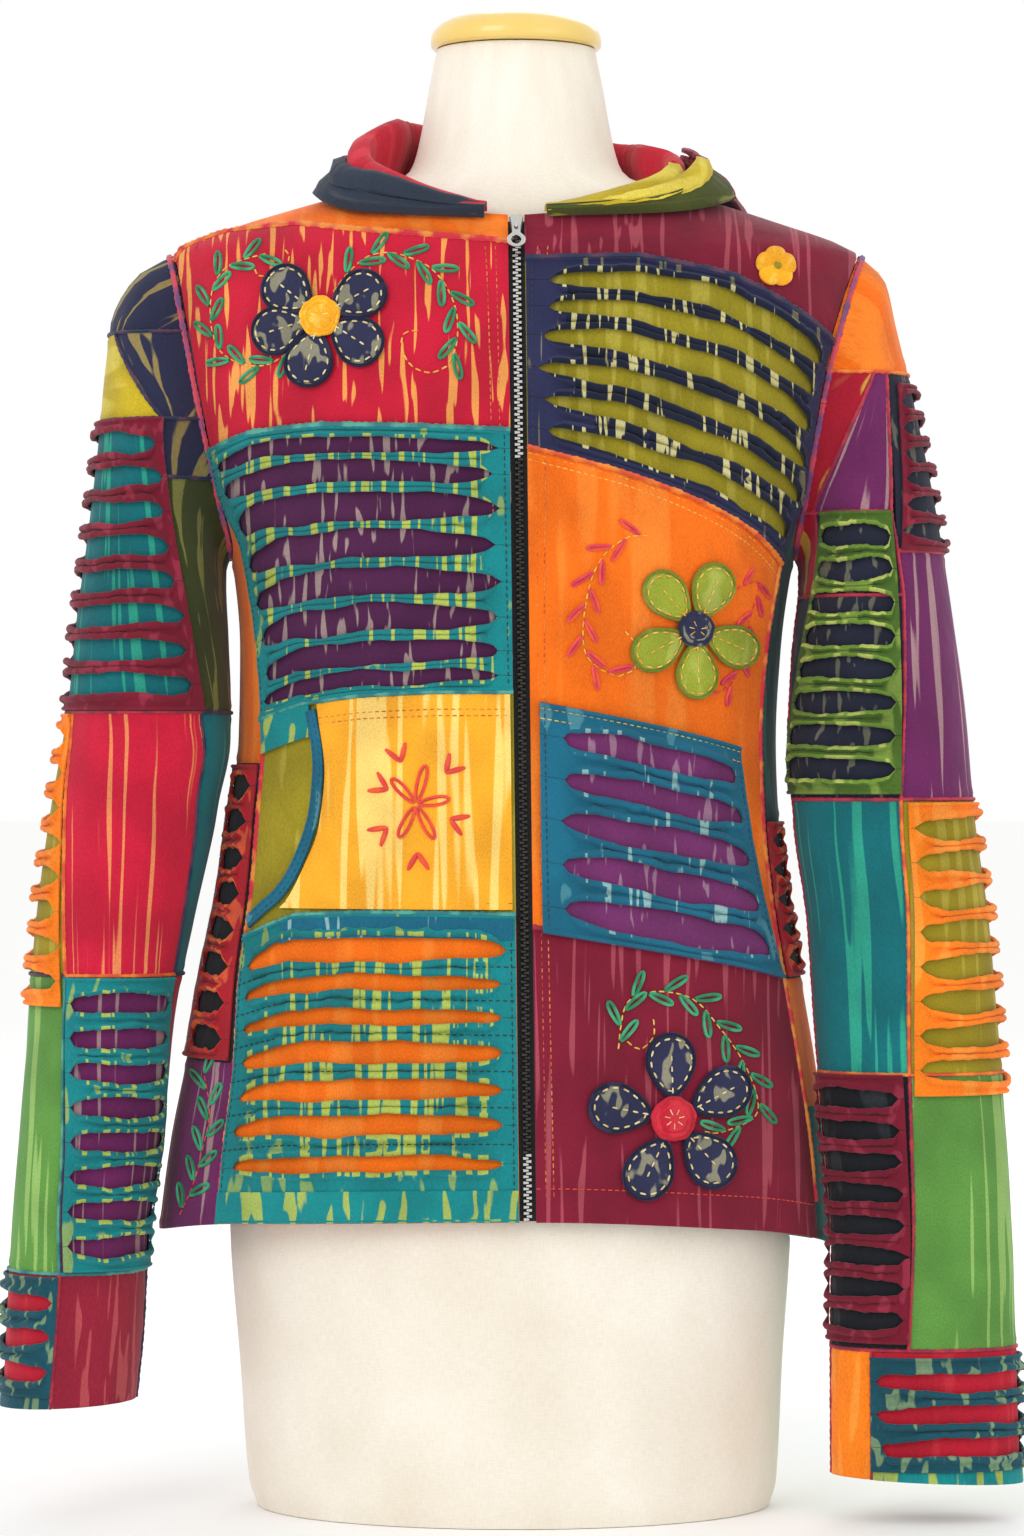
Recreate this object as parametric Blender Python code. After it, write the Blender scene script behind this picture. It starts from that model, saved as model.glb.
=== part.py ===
"""A patchwork hooded jacket with slashed upper layers, hanging on a limbless dress form.

Wearer's right is -X and wearer's left is +X. The front faces -Y, and the form stands on z = 0.
All sizes below are millimetres. Angles on the body and the sleeves are degrees.
"""

from collections import namedtuple

import bpy
import numpy as np

MM = 0.001
CLOTH = 2.0
GAP = 0.3
SEAM = 0.25

TorsoRow = namedtuple("TorsoRow", "height right left front back")
TORSO = [
    TorsoRow(145, 223, 199, 136, 132),
    TorsoRow(169, 221, 196, 134, 130),
    TorsoRow(224, 214, 192, 129, 126),
    TorsoRow(275, 204, 185, 124, 122),
    TorsoRow(322, 196, 177, 119, 117),
    TorsoRow(381, 184, 167, 111, 107),
    TorsoRow(418, 179, 163, 108, 101),
    TorsoRow(472, 172, 161, 107, 97),
    TorsoRow(528, 171, 164, 113, 99),
    TorsoRow(584, 176, 172, 121, 103),
    TorsoRow(621, 190, 184, 123, 105),
    TorsoRow(660, 202, 193, 121, 104),
    TorsoRow(700, 210, 201, 115, 100),
    TorsoRow(745, 214, 210, 104, 94),
    TorsoRow(770, 213, 213, 94, 88),
    TorsoRow(780, 200, 197, 88, 84),
    TorsoRow(790, 172, 168, 82, 80),
    TorsoRow(800, 138, 137, 78, 76),
    TorsoRow(810, 102, 104, 75, 72),
    TorsoRow(818, 76, 77, 72, 69),
    TorsoRow(825, 70, 70, 70, 66),
]

FormRow = namedtuple("FormRow", "height right left front back")
FORM = [
    FormRow(0, 160, 157, 112, 110),
    FormRow(14, 165, 161, 116, 113),
    FormRow(90, 171, 165, 119, 117),
    FormRow(170, 177, 170, 122, 121),
    FormRow(235, 178, 171, 120, 120),
    FormRow(300, 170, 164, 113, 112),
    FormRow(370, 154, 149, 101, 98),
    FormRow(440, 143, 140, 96, 87),
    FormRow(510, 147, 144, 102, 88),
    FormRow(580, 158, 155, 113, 93),
    FormRow(640, 167, 164, 113, 95),
    FormRow(700, 178, 175, 103, 91),
    FormRow(748, 184, 182, 91, 82),
]
NeckRow = namedtuple("NeckRow", "height right left front back")
NECK = [
    NeckRow(822, 67.5, 67.5, 64, 61),
    NeckRow(834, 62, 62, 59, 57),
    NeckRow(852, 58, 58, 55, 54),
    NeckRow(872, 54.5, 54.5, 52, 51),
    NeckRow(899.6, 49, 49, 47, 47),
]
CapRow = namedtuple("CapRow", "height radius")
CAP = [
    CapRow(900, 49),
    CapRow(900, 51.5),
    CapRow(904, 53),
    CapRow(910, 51.5),
    CapRow(916, 46),
    CapRow(920.5, 34),
    CapRow(922.5, 18),
]
FORM_CLEAR = 5.0
FORM_CLEAR_FRONT = 4.0

HemRow = namedtuple("HemRow", "angle height")
HEM = [
    HemRow(-180, 166),
    HemRow(-90, 170),
    HemRow(-50, 180),
    HemRow(0, 185),
    HemRow(45, 177),
    HemRow(70, 168),
    HemRow(90, 160),
    HemRow(180, 166),
]
NecklineRow = namedtuple("NecklineRow", "angle height")
NECKLINE = [
    NecklineRow(0, 789),
    NecklineRow(30, 796),
    NecklineRow(60, 808),
    NecklineRow(90, 818),
    NecklineRow(135, 822),
    NecklineRow(180, 823),
]

SideSeamRow = namedtuple("SideSeamRow", "height right left")
SIDE_SEAM = [
    SideSeamRow(150, 55, 71),
    SideSeamRow(250, 56, 69),
    SideSeamRow(345, 60, 68),
    SideSeamRow(418, 62, 68),
    SideSeamRow(500, 65, 68),
    SideSeamRow(560, 69, 70),
    SideSeamRow(622, 72, 72),
]
BACK_SEAM = 108
ARMHOLE_TOP = 774
ARMHOLE_BOTTOM = 584
ARMHOLE_HALF_ANGLE = 21
ARMHOLE_SQUARENESS = 0.7
ARMHOLE_JOIN = 622

SleeveRow = namedtuple(
    "SleeveRow", "down outer_x outer_z inner_x inner_z middle_y half_depth seam"
)
SLEEVE_RIGHT = [
    SleeveRow(0, 213, 773, 178, 585, 0, 44, 66),
    SleeveRow(1, 233, 761, 179.5, 577, -2, 50, 66),
    SleeveRow(2, 249, 735, 179.5, 568, -4, 55, 66),
    SleeveRow(3, 254, 700, 179, 556, -7, 57, 66),
    SleeveRow(4, 258, 655, 178, 542, -10, 57, 65),
    SleeveRow(5, 264, 600, 177, 522, -13, 56, 64),
    SleeveRow(6, 271, 545, 176, 500, -16, 55, 63),
    SleeveRow(7, 276, 492, 176, 476, -19, 54, 60),
    SleeveRow(8, 287, 425, 184, 426, -22, 52, 49),
    SleeveRow(9, 295, 362, 198, 362, -25, 50, 38),
    SleeveRow(10, 300, 300, 210, 300, -28, 47, 28),
    SleeveRow(11, 304, 240, 216, 236, -31, 45, 25),
    SleeveRow(12, 309, 175, 226, 171, -34, 43, 22),
    SleeveRow(13, 312, 115, 229, 112, -37, 42, 18),
    SleeveRow(14, 314, 66, 233, 70, -40, 40, 16),
]
SLEEVE_LEFT = [
    SleeveRow(0, 212, 773, 175, 585, 0, 44, 36),
    SleeveRow(1, 228, 757, 176, 577, -2, 50, 35),
    SleeveRow(2, 235, 728, 176, 568, -4, 53, 34),
    SleeveRow(3, 242, 697, 175, 556, -8, 55, 33),
    SleeveRow(4, 251, 655, 173, 542, -12, 55, 30),
    SleeveRow(5, 261, 600, 171, 524, -17, 54, 25),
    SleeveRow(6, 269, 545, 169.5, 502, -22, 52, 20),
    SleeveRow(7, 276, 490, 168, 478, -27, 50, 15),
    SleeveRow(8, 281, 425, 171, 422, -34, 46, 8),
    SleeveRow(9, 289, 362, 179, 362, -41, 43, 3),
    SleeveRow(10, 294, 300, 183, 300, -46, 40, -2),
    SleeveRow(11, 299, 235, 188, 235, -51, 37, -5),
    SleeveRow(12, 302, 165, 193, 168, -56, 34, -10),
    SleeveRow(13, 304, 95, 192, 98, -60, 31, -20),
    SleeveRow(14, 306, 22, 192, 27, -64, 28, -30),
]
SLEEVE_COLUMNS = 16
ARMHOLE_INSET = 0.975

HoodRow = namedtuple("HoodRow", "angle stand fold puff rim rim_out")
HOOD_RIGHT = [
    HoodRow(6, 6, 4, 5, 4, 6),
    HoodRow(14, 10, 5, 7, 8, 9),
    HoodRow(33, 22, 7, 10, 18, 13),
    HoodRow(60, 32, 8, 13, 17, 18),
    HoodRow(90, 38, 9, 15, 13, 25),
    HoodRow(112, 36, 13, 18, 11, 38),
    HoodRow(126, 35, 20, 21, 11, 44),
    HoodRow(140, 34, 44, 26, 11, 48),
    HoodRow(152, 31, 96, 33, 11, 52),
    HoodRow(164, 29, 146, 40, 10, 56),
    HoodRow(180, 27, 168, 44, 9, 58),
]
HOOD_LEFT = [
    HoodRow(6, 4, 3, 5, 2, 6),
    HoodRow(14, 7, 4, 6, 4, 8),
    HoodRow(33, 14, 7, 9, 9, 13),
    HoodRow(60, 20, 11, 14, 17, 22),
    HoodRow(90, 22, 14, 19, 19, 33),
    HoodRow(112, 24, 22, 23, 15, 50),
    HoodRow(126, 26, 33, 26, 13, 56),
    HoodRow(140, 28, 62, 31, 12, 59),
    HoodRow(152, 28, 108, 36, 11, 60),
    HoodRow(164, 28, 148, 41, 10, 60),
    HoodRow(180, 27, 168, 44, 9, 58),
]
HOOD_LIFT = 9.5

ORANGE = (0.86, 0.33, 0.03)
RED = (0.62, 0.03, 0.06)
MAROON = (0.30, 0.03, 0.06)
TEAL = (0.02, 0.30, 0.32)
BLUE = (0.03, 0.18, 0.26)
NAVY = (0.05, 0.05, 0.13)
OLIVE = (0.40, 0.33, 0.04)
GREEN = (0.20, 0.36, 0.08)
PURPLE = (0.20, 0.06, 0.20)
YELLOW = (0.85, 0.50, 0.06)
CHARCOAL = (0.03, 0.03, 0.03)
LINEN = (0.80, 0.76, 0.70)
ENAMEL = (0.85, 0.65, 0.28)
STEEL = (0.70, 0.70, 0.70)


class Curve:
    """A smooth curve through a table's rows, which never swings past them."""

    def __init__(self, rows, key, column):
        self.x = np.array([getattr(row, key) for row in rows], float)
        self.y = np.array([getattr(row, column) for row in rows], float)
        steps = np.diff(self.x)
        rises = np.diff(self.y) / steps
        before, after = rises[:-1], rises[1:]
        same_way = before * after > 0
        total = np.where(same_way, before + after, 1.0)
        self.slope = np.zeros_like(self.y)
        self.slope[1:-1] = np.where(same_way, 2 * before * after / total, 0.0)
        self.slope[0], self.slope[-1] = rises[0], rises[-1]

    def __call__(self, x):
        x = np.clip(np.asarray(x, float), self.x[0], self.x[-1])
        k = np.clip(np.searchsorted(self.x, x, side="right") - 1, 0, len(self.x) - 2)
        step = self.x[k + 1] - self.x[k]
        t = (x - self.x[k]) / step
        rise = 3 * t**2 - 2 * t**3
        near = self.y[k] * (1 - rise) + self.y[k + 1] * rise
        lean_in = self.slope[k] * (t**3 - 2 * t**2 + t)
        lean_out = self.slope[k + 1] * (t**3 - t**2)
        return near + step * (lean_in + lean_out)


def curves(rows, key):
    """One curve for each column of a table, by name."""
    return {c: Curve(rows, key, c) for c in rows[0]._fields if c != key}


TORSO_AT = curves(TORSO, "height")
SEAM_AT = curves(SIDE_SEAM, "height")
HEM_AT = Curve(HEM, "angle", "height")
NECKLINE_AT = Curve(NECKLINE, "angle", "height")
SLEEVE_AT = {"right": curves(SLEEVE_RIGHT, "down"), "left": curves(SLEEVE_LEFT, "down")}
HOOD_AT = {"right": curves(HOOD_RIGHT, "angle"), "left": curves(HOOD_LEFT, "angle")}
SIGN = {"right": -1.0, "left": 1.0}


def section(at, angle, height):
    """A point on a body whose level sections are ellipses, wider on one side than the other."""
    turn = np.radians(angle)
    side = np.where(np.sin(turn) < 0, at["right"](height), at["left"](height))
    depth = np.where(np.cos(turn) > 0, at["front"](height), at["back"](height))
    level = np.broadcast_to(height, turn.shape)
    return np.stack([side * np.sin(turn), -depth * np.cos(turn), level], -1)


def moved_out(surface, a, b, out, step_a, step_b):
    """The surface's point moved out square to it, by the cross of its two directions."""
    along_a = surface(a + step_a, b) - surface(a - step_a, b)
    along_b = surface(a, b + step_b) - surface(a, b - step_b)
    square = np.cross(along_a, along_b)
    square /= np.linalg.norm(square, axis=-1, keepdims=True)
    return surface(a, b) + square * np.asarray(out)[..., None]


def torso(angle, height, out):
    """A point on the jacket's body, moved out from its outer face."""
    angle, height, out = np.broadcast_arrays(angle, height, out)
    angle, height = angle.astype(float), height.astype(float)
    return moved_out(lambda a, z: section(TORSO_AT, a, z), angle, height, out, 0.5, 0.5)


def armhole_spread(height):
    """How far the armhole's edge stands from the side line at a height, in degrees."""
    middle = (ARMHOLE_TOP + ARMHOLE_BOTTOM) / 2
    half = (ARMHOLE_TOP - ARMHOLE_BOTTOM) / 2
    up = np.clip((np.asarray(height, float) - middle) / half, -1, 1)
    return ARMHOLE_HALF_ANGLE * np.sqrt(1 - up**2) ** ARMHOLE_SQUARENESS


def front_edge(side, height):
    """The angle of a front's outer edge: the side seam, then the armhole, then the shoulder."""
    above = 90 - armhole_spread(height)
    return np.where(np.asarray(height) > ARMHOLE_JOIN, above, SEAM_AT[side](height))


def back_edge(height):
    """The angle of the back's outer edge: the back side seam, the armhole, the shoulder."""
    above = 90 + armhole_spread(height)
    return np.where(np.asarray(height) > ARMHOLE_JOIN, above, float(BACK_SEAM))


def armhole_bottom(angle):
    """The height of the armhole's lower edge at an angle between the two side seams."""
    middle = (ARMHOLE_TOP + ARMHOLE_BOTTOM) / 2
    half = (ARMHOLE_TOP - ARMHOLE_BOTTOM) / 2
    spread = np.clip(np.abs(np.abs(angle) - 90) / ARMHOLE_HALF_ANGLE, 0, 1)
    level = spread ** (1 / ARMHOLE_SQUARENESS)
    return middle - half * np.sqrt(1 - level**2)


def sleeve_ring(side, psi, down):
    """A point on a sleeve. psi is measured from its front seam, and down counts its rings."""
    at = SLEEVE_AT[side]
    sign = SIGN[side]
    phi = np.radians(psi + at["seam"](down))
    outer = np.stack([at["outer_x"](down), at["outer_z"](down)], -1)
    inner = np.stack([at["inner_x"](down), at["inner_z"](down)], -1)
    middle = (outer + inner) / 2
    reach = (outer - inner) / 2
    across = middle + reach * np.sin(phi)[..., None]
    y = at["middle_y"](down) - at["half_depth"](down) * np.cos(phi)
    ring = np.stack([sign * across[..., 0], y, across[..., 1]], -1)
    spread = np.sign(np.cos(phi)) * np.abs(np.cos(phi)) ** ARMHOLE_SQUARENESS
    angle = 90 - ARMHOLE_INSET * ARMHOLE_HALF_ANGLE * spread
    half = (ARMHOLE_TOP - ARMHOLE_BOTTOM) / 2 * ARMHOLE_INSET
    height = (ARMHOLE_TOP + ARMHOLE_BOTTOM) / 2 + half * np.sin(phi)
    armhole = section(TORSO_AT, sign * angle, height)
    share = np.clip(down, 0, 1)[..., None]
    share = share * share * (3 - 2 * share)
    return armhole * (1 - share) + ring * share


def sleeve(side, psi, down, out):
    """A point on a sleeve, moved out from its outer face."""
    psi, down, out = np.broadcast_arrays(psi, down, out)
    psi, down = psi.astype(float), down.astype(float)
    way = -SIGN[side]
    return moved_out(
        lambda a, d: sleeve_ring(side, a, d), psi, down, out * way, 1.0, 0.05
    )


def sleeve_down(side, psi, height):
    """How many rings down a sleeve reaches a height, found by halving."""
    psi, height = np.broadcast_arrays(psi, height)
    high = np.zeros(psi.shape)
    low = np.full(psi.shape, float(SLEEVE_RIGHT[-1].down))
    for _ in range(26):
        middle = (high + low) / 2
        under = sleeve_ring(side, psi, middle)[..., 2] < height
        low = np.where(under, middle, low)
        high = np.where(under, high, middle)
    return (high + low) / 2


def sleeve_at_height(side, psi, height, out):
    """A point on a sleeve at a height, moved out from its outer face."""
    return sleeve(side, psi, sleeve_down(side, psi, height), out)


def material_of(name, colour, metallic=0.0, roughness=0.85):
    """A plain material in the piece's main colour."""
    made = bpy.data.materials.new(name)
    made.use_nodes = True
    shader = made.node_tree.nodes["Principled BSDF"]
    shader.inputs["Base Color"].default_value = (*colour, 1.0)
    shader.inputs["Metallic"].default_value = metallic
    shader.inputs["Roughness"].default_value = roughness
    return made


def add_object(name, points, faces, material):
    """One named piece from its points in millimetres, shaded smooth but for its sharp edges."""
    mesh = bpy.data.meshes.new(name)
    mesh.from_pydata([tuple(p) for p in np.asarray(points) * MM], [], faces)
    mesh.materials.append(material)
    mesh.shade_smooth()
    mesh.set_sharp_from_angle(angle=np.radians(40))
    made = bpy.data.objects.new(name, mesh)
    bpy.context.scene.collection.objects.link(made)
    return made


def wall(name, place, across, up, low, high, material, round_it=False):
    """A cloth wall over a grid: place(s, t, out) gives its points, s across and t up."""
    s, t = np.meshgrid(across, up)
    outer = place(s, t, np.full(s.shape, float(high)))
    inner = place(s, t, np.full(s.shape, float(low)))
    rows, columns = s.shape
    count = rows * columns
    points = np.concatenate([outer.reshape(-1, 3), inner.reshape(-1, 3)])
    faces = []
    cells = columns if round_it else columns - 1
    for r in range(rows - 1):
        for c in range(cells):
            d = (c + 1) % columns
            ring = [r * columns + c, r * columns + d]
            ring += [(r + 1) * columns + d, (r + 1) * columns + c]
            faces.append(tuple(ring))
            faces.append(tuple(k + count for k in reversed(ring)))
    edges = []
    for c in range(cells):
        d = (c + 1) % columns
        edges.append((d, c))
        edges.append(((rows - 1) * columns + c, (rows - 1) * columns + d))
    if not round_it:
        for r in range(rows - 1):
            edges.append((r * columns, (r + 1) * columns))
            edges.append(((r + 2) * columns - 1, (r + 1) * columns - 1))
    for a, b in edges:
        faces.append((a, b, b + count, a + count))
    return add_object(name, points, faces, material)


def slashed(name, place, across, slits, low, high, material):
    """A cloth wall cut through by level slits that taper to a point at both ends.

    across holds the column places, and the slits close at the second and the last but one.
    slits holds the (middle, reach) of each slit from the bottom up, as shares of the height.
    """
    first, last = 1, len(across) - 2
    middle, half = (across[first] + across[last]) / 2, (across[last] - across[first]) / 2
    lines = []
    for k, s in enumerate(across):
        open_share = 0.0
        if first < k < last:
            open_share = (1 - ((s - middle) / half) ** 2) ** 0.6
        heights = [0.0]
        for centre, reach in slits:
            heights += [centre - reach * open_share, centre + reach * open_share]
        lines.append(heights + [1.0])
    shut = [not first < k < last for k in range(len(across))]
    index, flat = {}, []
    for k, heights in enumerate(lines):
        for j, t in enumerate(heights):
            pair = (j + 1) // 2
            key = (k, 2 * pair - 1) if shut[k] and 0 < j < len(heights) - 1 else (k, j)
            if key not in index:
                index[key] = len(flat)
                flat.append((across[k], t))
            index[(k, j)] = index[key]
    flat = np.array(flat)
    count = len(flat)
    outer = place(flat[:, 0], flat[:, 1], np.full(count, float(high)))
    inner = place(flat[:, 0], flat[:, 1], np.full(count, float(low)))
    faces, edges = [], []
    top = len(lines[0]) - 1
    for k in range(len(across) - 1):
        for j in range(0, top, 2):
            ring = [index[k, j], index[k + 1, j], index[k + 1, j + 1], index[k, j + 1]]
            faces.append(tuple(ring))
            faces.append(tuple(i + count for i in reversed(ring)))
            if j == 0 or first <= k < last:
                edges.append((ring[1], ring[0]))
            if j + 1 == top or first <= k < last:
                edges.append((ring[3], ring[2]))
    for j in range(0, top, 2):
        edges.append((index[0, j], index[0, j + 1]))
        edges.append((index[len(across) - 1, j + 1], index[len(across) - 1, j]))
    for a, b in edges:
        faces.append((a, b, b + count, a + count))
    return add_object(name, np.concatenate([outer, inner]), faces, material)


def rings_solid(name, rings, material):
    """A closed solid lofted through level rings, with a flat face at each end."""
    count = len(rings[0])
    faces = [tuple(reversed(range(count)))]
    for r in range(len(rings) - 1):
        for c in range(count):
            d = (c + 1) % count
            base = r * count
            faces.append((base + c, base + d, base + count + d, base + count + c))
    faces.append(tuple((len(rings) - 1) * count + c for c in range(count)))
    return add_object(name, np.concatenate(rings), faces, material)


FORM_COLUMNS = 24


def build_form():
    """The dress form: a torso that stands on its flat base, its neck, and the neck cap."""
    angles = np.linspace(-180, 180, FORM_COLUMNS, endpoint=False)
    body_at = curves(FORM, "height")
    rings = [section(body_at, angles, float(row.height)) for row in FORM]
    for height in (772, 781, 790, 799, 808, 815):
        clear = FORM_CLEAR + FORM_CLEAR_FRONT * np.cos(np.radians(angles)) ** 2
        rings.append(torso(angles, float(height), -CLOTH - clear))
    neck_at = curves(NECK, "height")
    rings += [section(neck_at, angles, float(row.height)) for row in NECK]
    rings_solid("form_body", rings, material_of("form_cover", LINEN))
    turn = np.radians(np.arange(0, 360, 18))
    cap = []
    for row in CAP:
        x, y = row.radius * np.sin(turn), -row.radius * np.cos(turn)
        cap.append(np.stack([x, y, np.full(len(turn), float(row.height))], -1))
    cap[0][:, 2] += GAP
    cap[1][:, 2] += GAP + 0.4
    rings_solid("form_neck_cap", cap, material_of("cap_enamel", ENAMEL, 0.0, 0.2))


ZIP_TOP_X = 0.0
ZIP_HEM_X = 7.0
ZIP_TOP = 787
ZIP_HALF_OPENING = 5.0


def zip_x(height):
    """The zip's place across the front, which drifts a little to the wearer's left."""
    share = (ZIP_TOP - np.asarray(height, float)) / (ZIP_TOP - 185)
    return ZIP_TOP_X + (ZIP_HEM_X - ZIP_TOP_X) * share


def angle_at(x, height):
    """The angle on the body at a place across the front."""
    height = np.asarray(height, float)
    half = np.where(np.asarray(x) < 0, TORSO_AT["right"](height), TORSO_AT["left"](height))
    return np.degrees(np.arcsin(np.clip(np.asarray(x) / half, -1, 1)))


Level = namedtuple("Level", "zip quarter middle three_quarter side")
LEVELS = {
    "right": {
        "yoke": Level(772, 779, 786, 784, 768),
        "chest": Level(656, 659, 661, 658, 648),
        "waist": Level(501, 501, 499, 494, 484),
        "pocket": Level(367, 368, 368, 366, 352),
    },
    "left": {
        "yoke": Level(760, 762, 752, 733, 716),
        "chest": Level(647, 633, 616, 599, 580),
        "waist": Level(360, 352, 344, 336, 328),
    },
}
FRONT_ACROSS = np.array([0, 0.06, 0.2, 0.4, 0.6, 0.8, 0.94, 1.0])


def level_of(side, name, s):
    """The height of a seam across a front, s from the zip to the side."""
    if name == "hem":
        return HEM_AT(SIGN[side] * np.asarray(s) * front_edge(side, 170.0))
    if name == "neck":
        return NECKLINE_AT(np.asarray(s) * 90)
    places = np.array([0, 0.25, 0.5, 0.75, 1.0])
    return np.interp(s, places, LEVELS[side][name])


def front_point(side, s, height, out):
    """A point on a front, s from its zip edge to its side edge."""
    sign = SIGN[side]
    start = sign * angle_at(zip_x(height) + sign * ZIP_HALF_OPENING, height)
    inset = np.degrees(SEAM / 150)
    end = np.minimum(front_edge(side, height), 90) - inset
    return torso(sign * (start + (end - start) * s), height, out)


FRONT_WIDTH = 190.0


def between(side, bottom, top, margin):
    """place(s, t, out) between two seams of a front, kept inside them by a margin."""

    def place(s, t, out):
        inner = margin / FRONT_WIDTH if margin > SEAM else 0
        s = np.clip(s, inner, 1 - inner)
        low, high = level_of(side, bottom, s), level_of(side, top, s)
        share = margin / np.maximum(high - low, 1)
        height = low + (high - low) * (share + t * (1 - 2 * share))
        return front_point(side, s, height, out)

    return as_walls(place, side)


def as_walls(place, side):
    """The same place with its faces turned out: the right side runs the other way round."""
    if side == "left":
        return place
    return lambda s, t, out: place(1 - s, t, out)



def evenly(rows):
    """The shares of the height at which a patch's rows lie."""
    return tuple(k / rows for k in range(rows + 1))


PatchRow = namedtuple("PatchRow", "name side bottom top rows colour")
YOKE_RIGHT_ROWS = (0, 0.09, 0.34, 0.6, 1)
YOKE_LEFT_ROWS = (0, 0.18, 0.36, 0.545, 0.675, 0.8, 1)
FRONT_PATCHES = [
    PatchRow("front_right_yoke", "right", "yoke", "neck", YOKE_RIGHT_ROWS, ORANGE),
    PatchRow("front_right_chest", "right", "chest", "yoke", evenly(5), RED),
    PatchRow("front_right_waist", "right", "waist", "chest", evenly(6), PURPLE),
    PatchRow("front_right_hip", "right", "pocket", "waist", evenly(5), OLIVE),
    PatchRow("front_right_hem", "right", "hem", "pocket", evenly(6), ORANGE),
    PatchRow("front_left_yoke", "left", "yoke", "neck", YOKE_LEFT_ROWS, MAROON),
    PatchRow("front_left_chest", "left", "chest", "yoke", evenly(5), OLIVE),
    PatchRow("front_left_waist", "left", "waist", "chest", evenly(9), ORANGE),
    PatchRow("front_left_hip", "left", "hem", "waist", evenly(6), MAROON),
]
UPPER_THICK = 1.2
LAID_ON = 1.3

SlitRow = namedtuple("SlitRow", "middle reach")
WAIST_SLITS = [
    SlitRow(0.06, 0.030),
    SlitRow(0.155, 0.045),
    SlitRow(0.285, 0.052),
    SlitRow(0.42, 0.052),
    SlitRow(0.56, 0.055),
    SlitRow(0.70, 0.055),
    SlitRow(0.83, 0.042),
    SlitRow(0.93, 0.030),
]
HEM_SLITS = [
    SlitRow(0.19, 0.026),
    SlitRow(0.315, 0.034),
    SlitRow(0.43, 0.034),
    SlitRow(0.55, 0.036),
    SlitRow(0.665, 0.026),
    SlitRow(0.775, 0.026),
    SlitRow(0.885, 0.042),
]
CHEST_SLITS = [
    SlitRow(0.10, 0.042),
    SlitRow(0.26, 0.045),
    SlitRow(0.42, 0.048),
    SlitRow(0.59, 0.055),
    SlitRow(0.745, 0.048),
    SlitRow(0.885, 0.050),
]
POCKET_SLITS = [
    SlitRow(0.12, 0.068),
    SlitRow(0.31, 0.062),
    SlitRow(0.50, 0.058),
    SlitRow(0.68, 0.052),
    SlitRow(0.86, 0.052),
]
UpperRow = namedtuple("UpperRow", "name side bottom top lift slits colour")
FRONT_UPPERS = [
    UpperRow("upper_waist_right", "right", "waist", "chest", 1.3, WAIST_SLITS, TEAL),
    UpperRow("upper_hem_right", "right", "hem", "pocket", 0.9, HEM_SLITS, TEAL),
    UpperRow("upper_chest_left", "left", "chest", "yoke", 1.3, CHEST_SLITS, NAVY),
]


def build_fronts():
    """The two fronts, sewn from nine patches, and their three slashed upper layers."""
    for row in FRONT_PATCHES:
        place = between(row.side, row.bottom, row.top, SEAM)
        material = material_of(row.name, row.colour)
        wall(row.name, place, FRONT_ACROSS, np.array(row.rows), -CLOTH, 0, material)
    for row in FRONT_UPPERS:
        place = between(row.side, row.bottom, row.top, 1.2)
        material = material_of(row.name, row.colour)
        high = row.lift + UPPER_THICK
        slashed(row.name, place, FRONT_ACROSS, row.slits, row.lift, high, material)


EdgeRow = namedtuple("EdgeRow", "height share")
POCKET_RIGHT_EDGE = [
    EdgeRow(368, 0.84),
    EdgeRow(374, 0.80),
    EdgeRow(393, 0.735),
    EdgeRow(420, 0.67),
    EdgeRow(450, 0.655),
    EdgeRow(496, 0.69),
]
POCKET_RIGHT_BOTTOM = 370
POCKET_RIGHT_HEIGHT = 126
BINDING_WIDTH = 8.0
BindingRow = namedtuple("BindingRow", "share height")
BINDING = [
    BindingRow(0.695, 491),
    BindingRow(0.668, 472),
    BindingRow(0.660, 450),
    BindingRow(0.675, 421),
    BindingRow(0.745, 392),
    BindingRow(0.82, 375.5),
    BindingRow(0.90, 366),
    BindingRow(0.97, 357.5),
]


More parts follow.
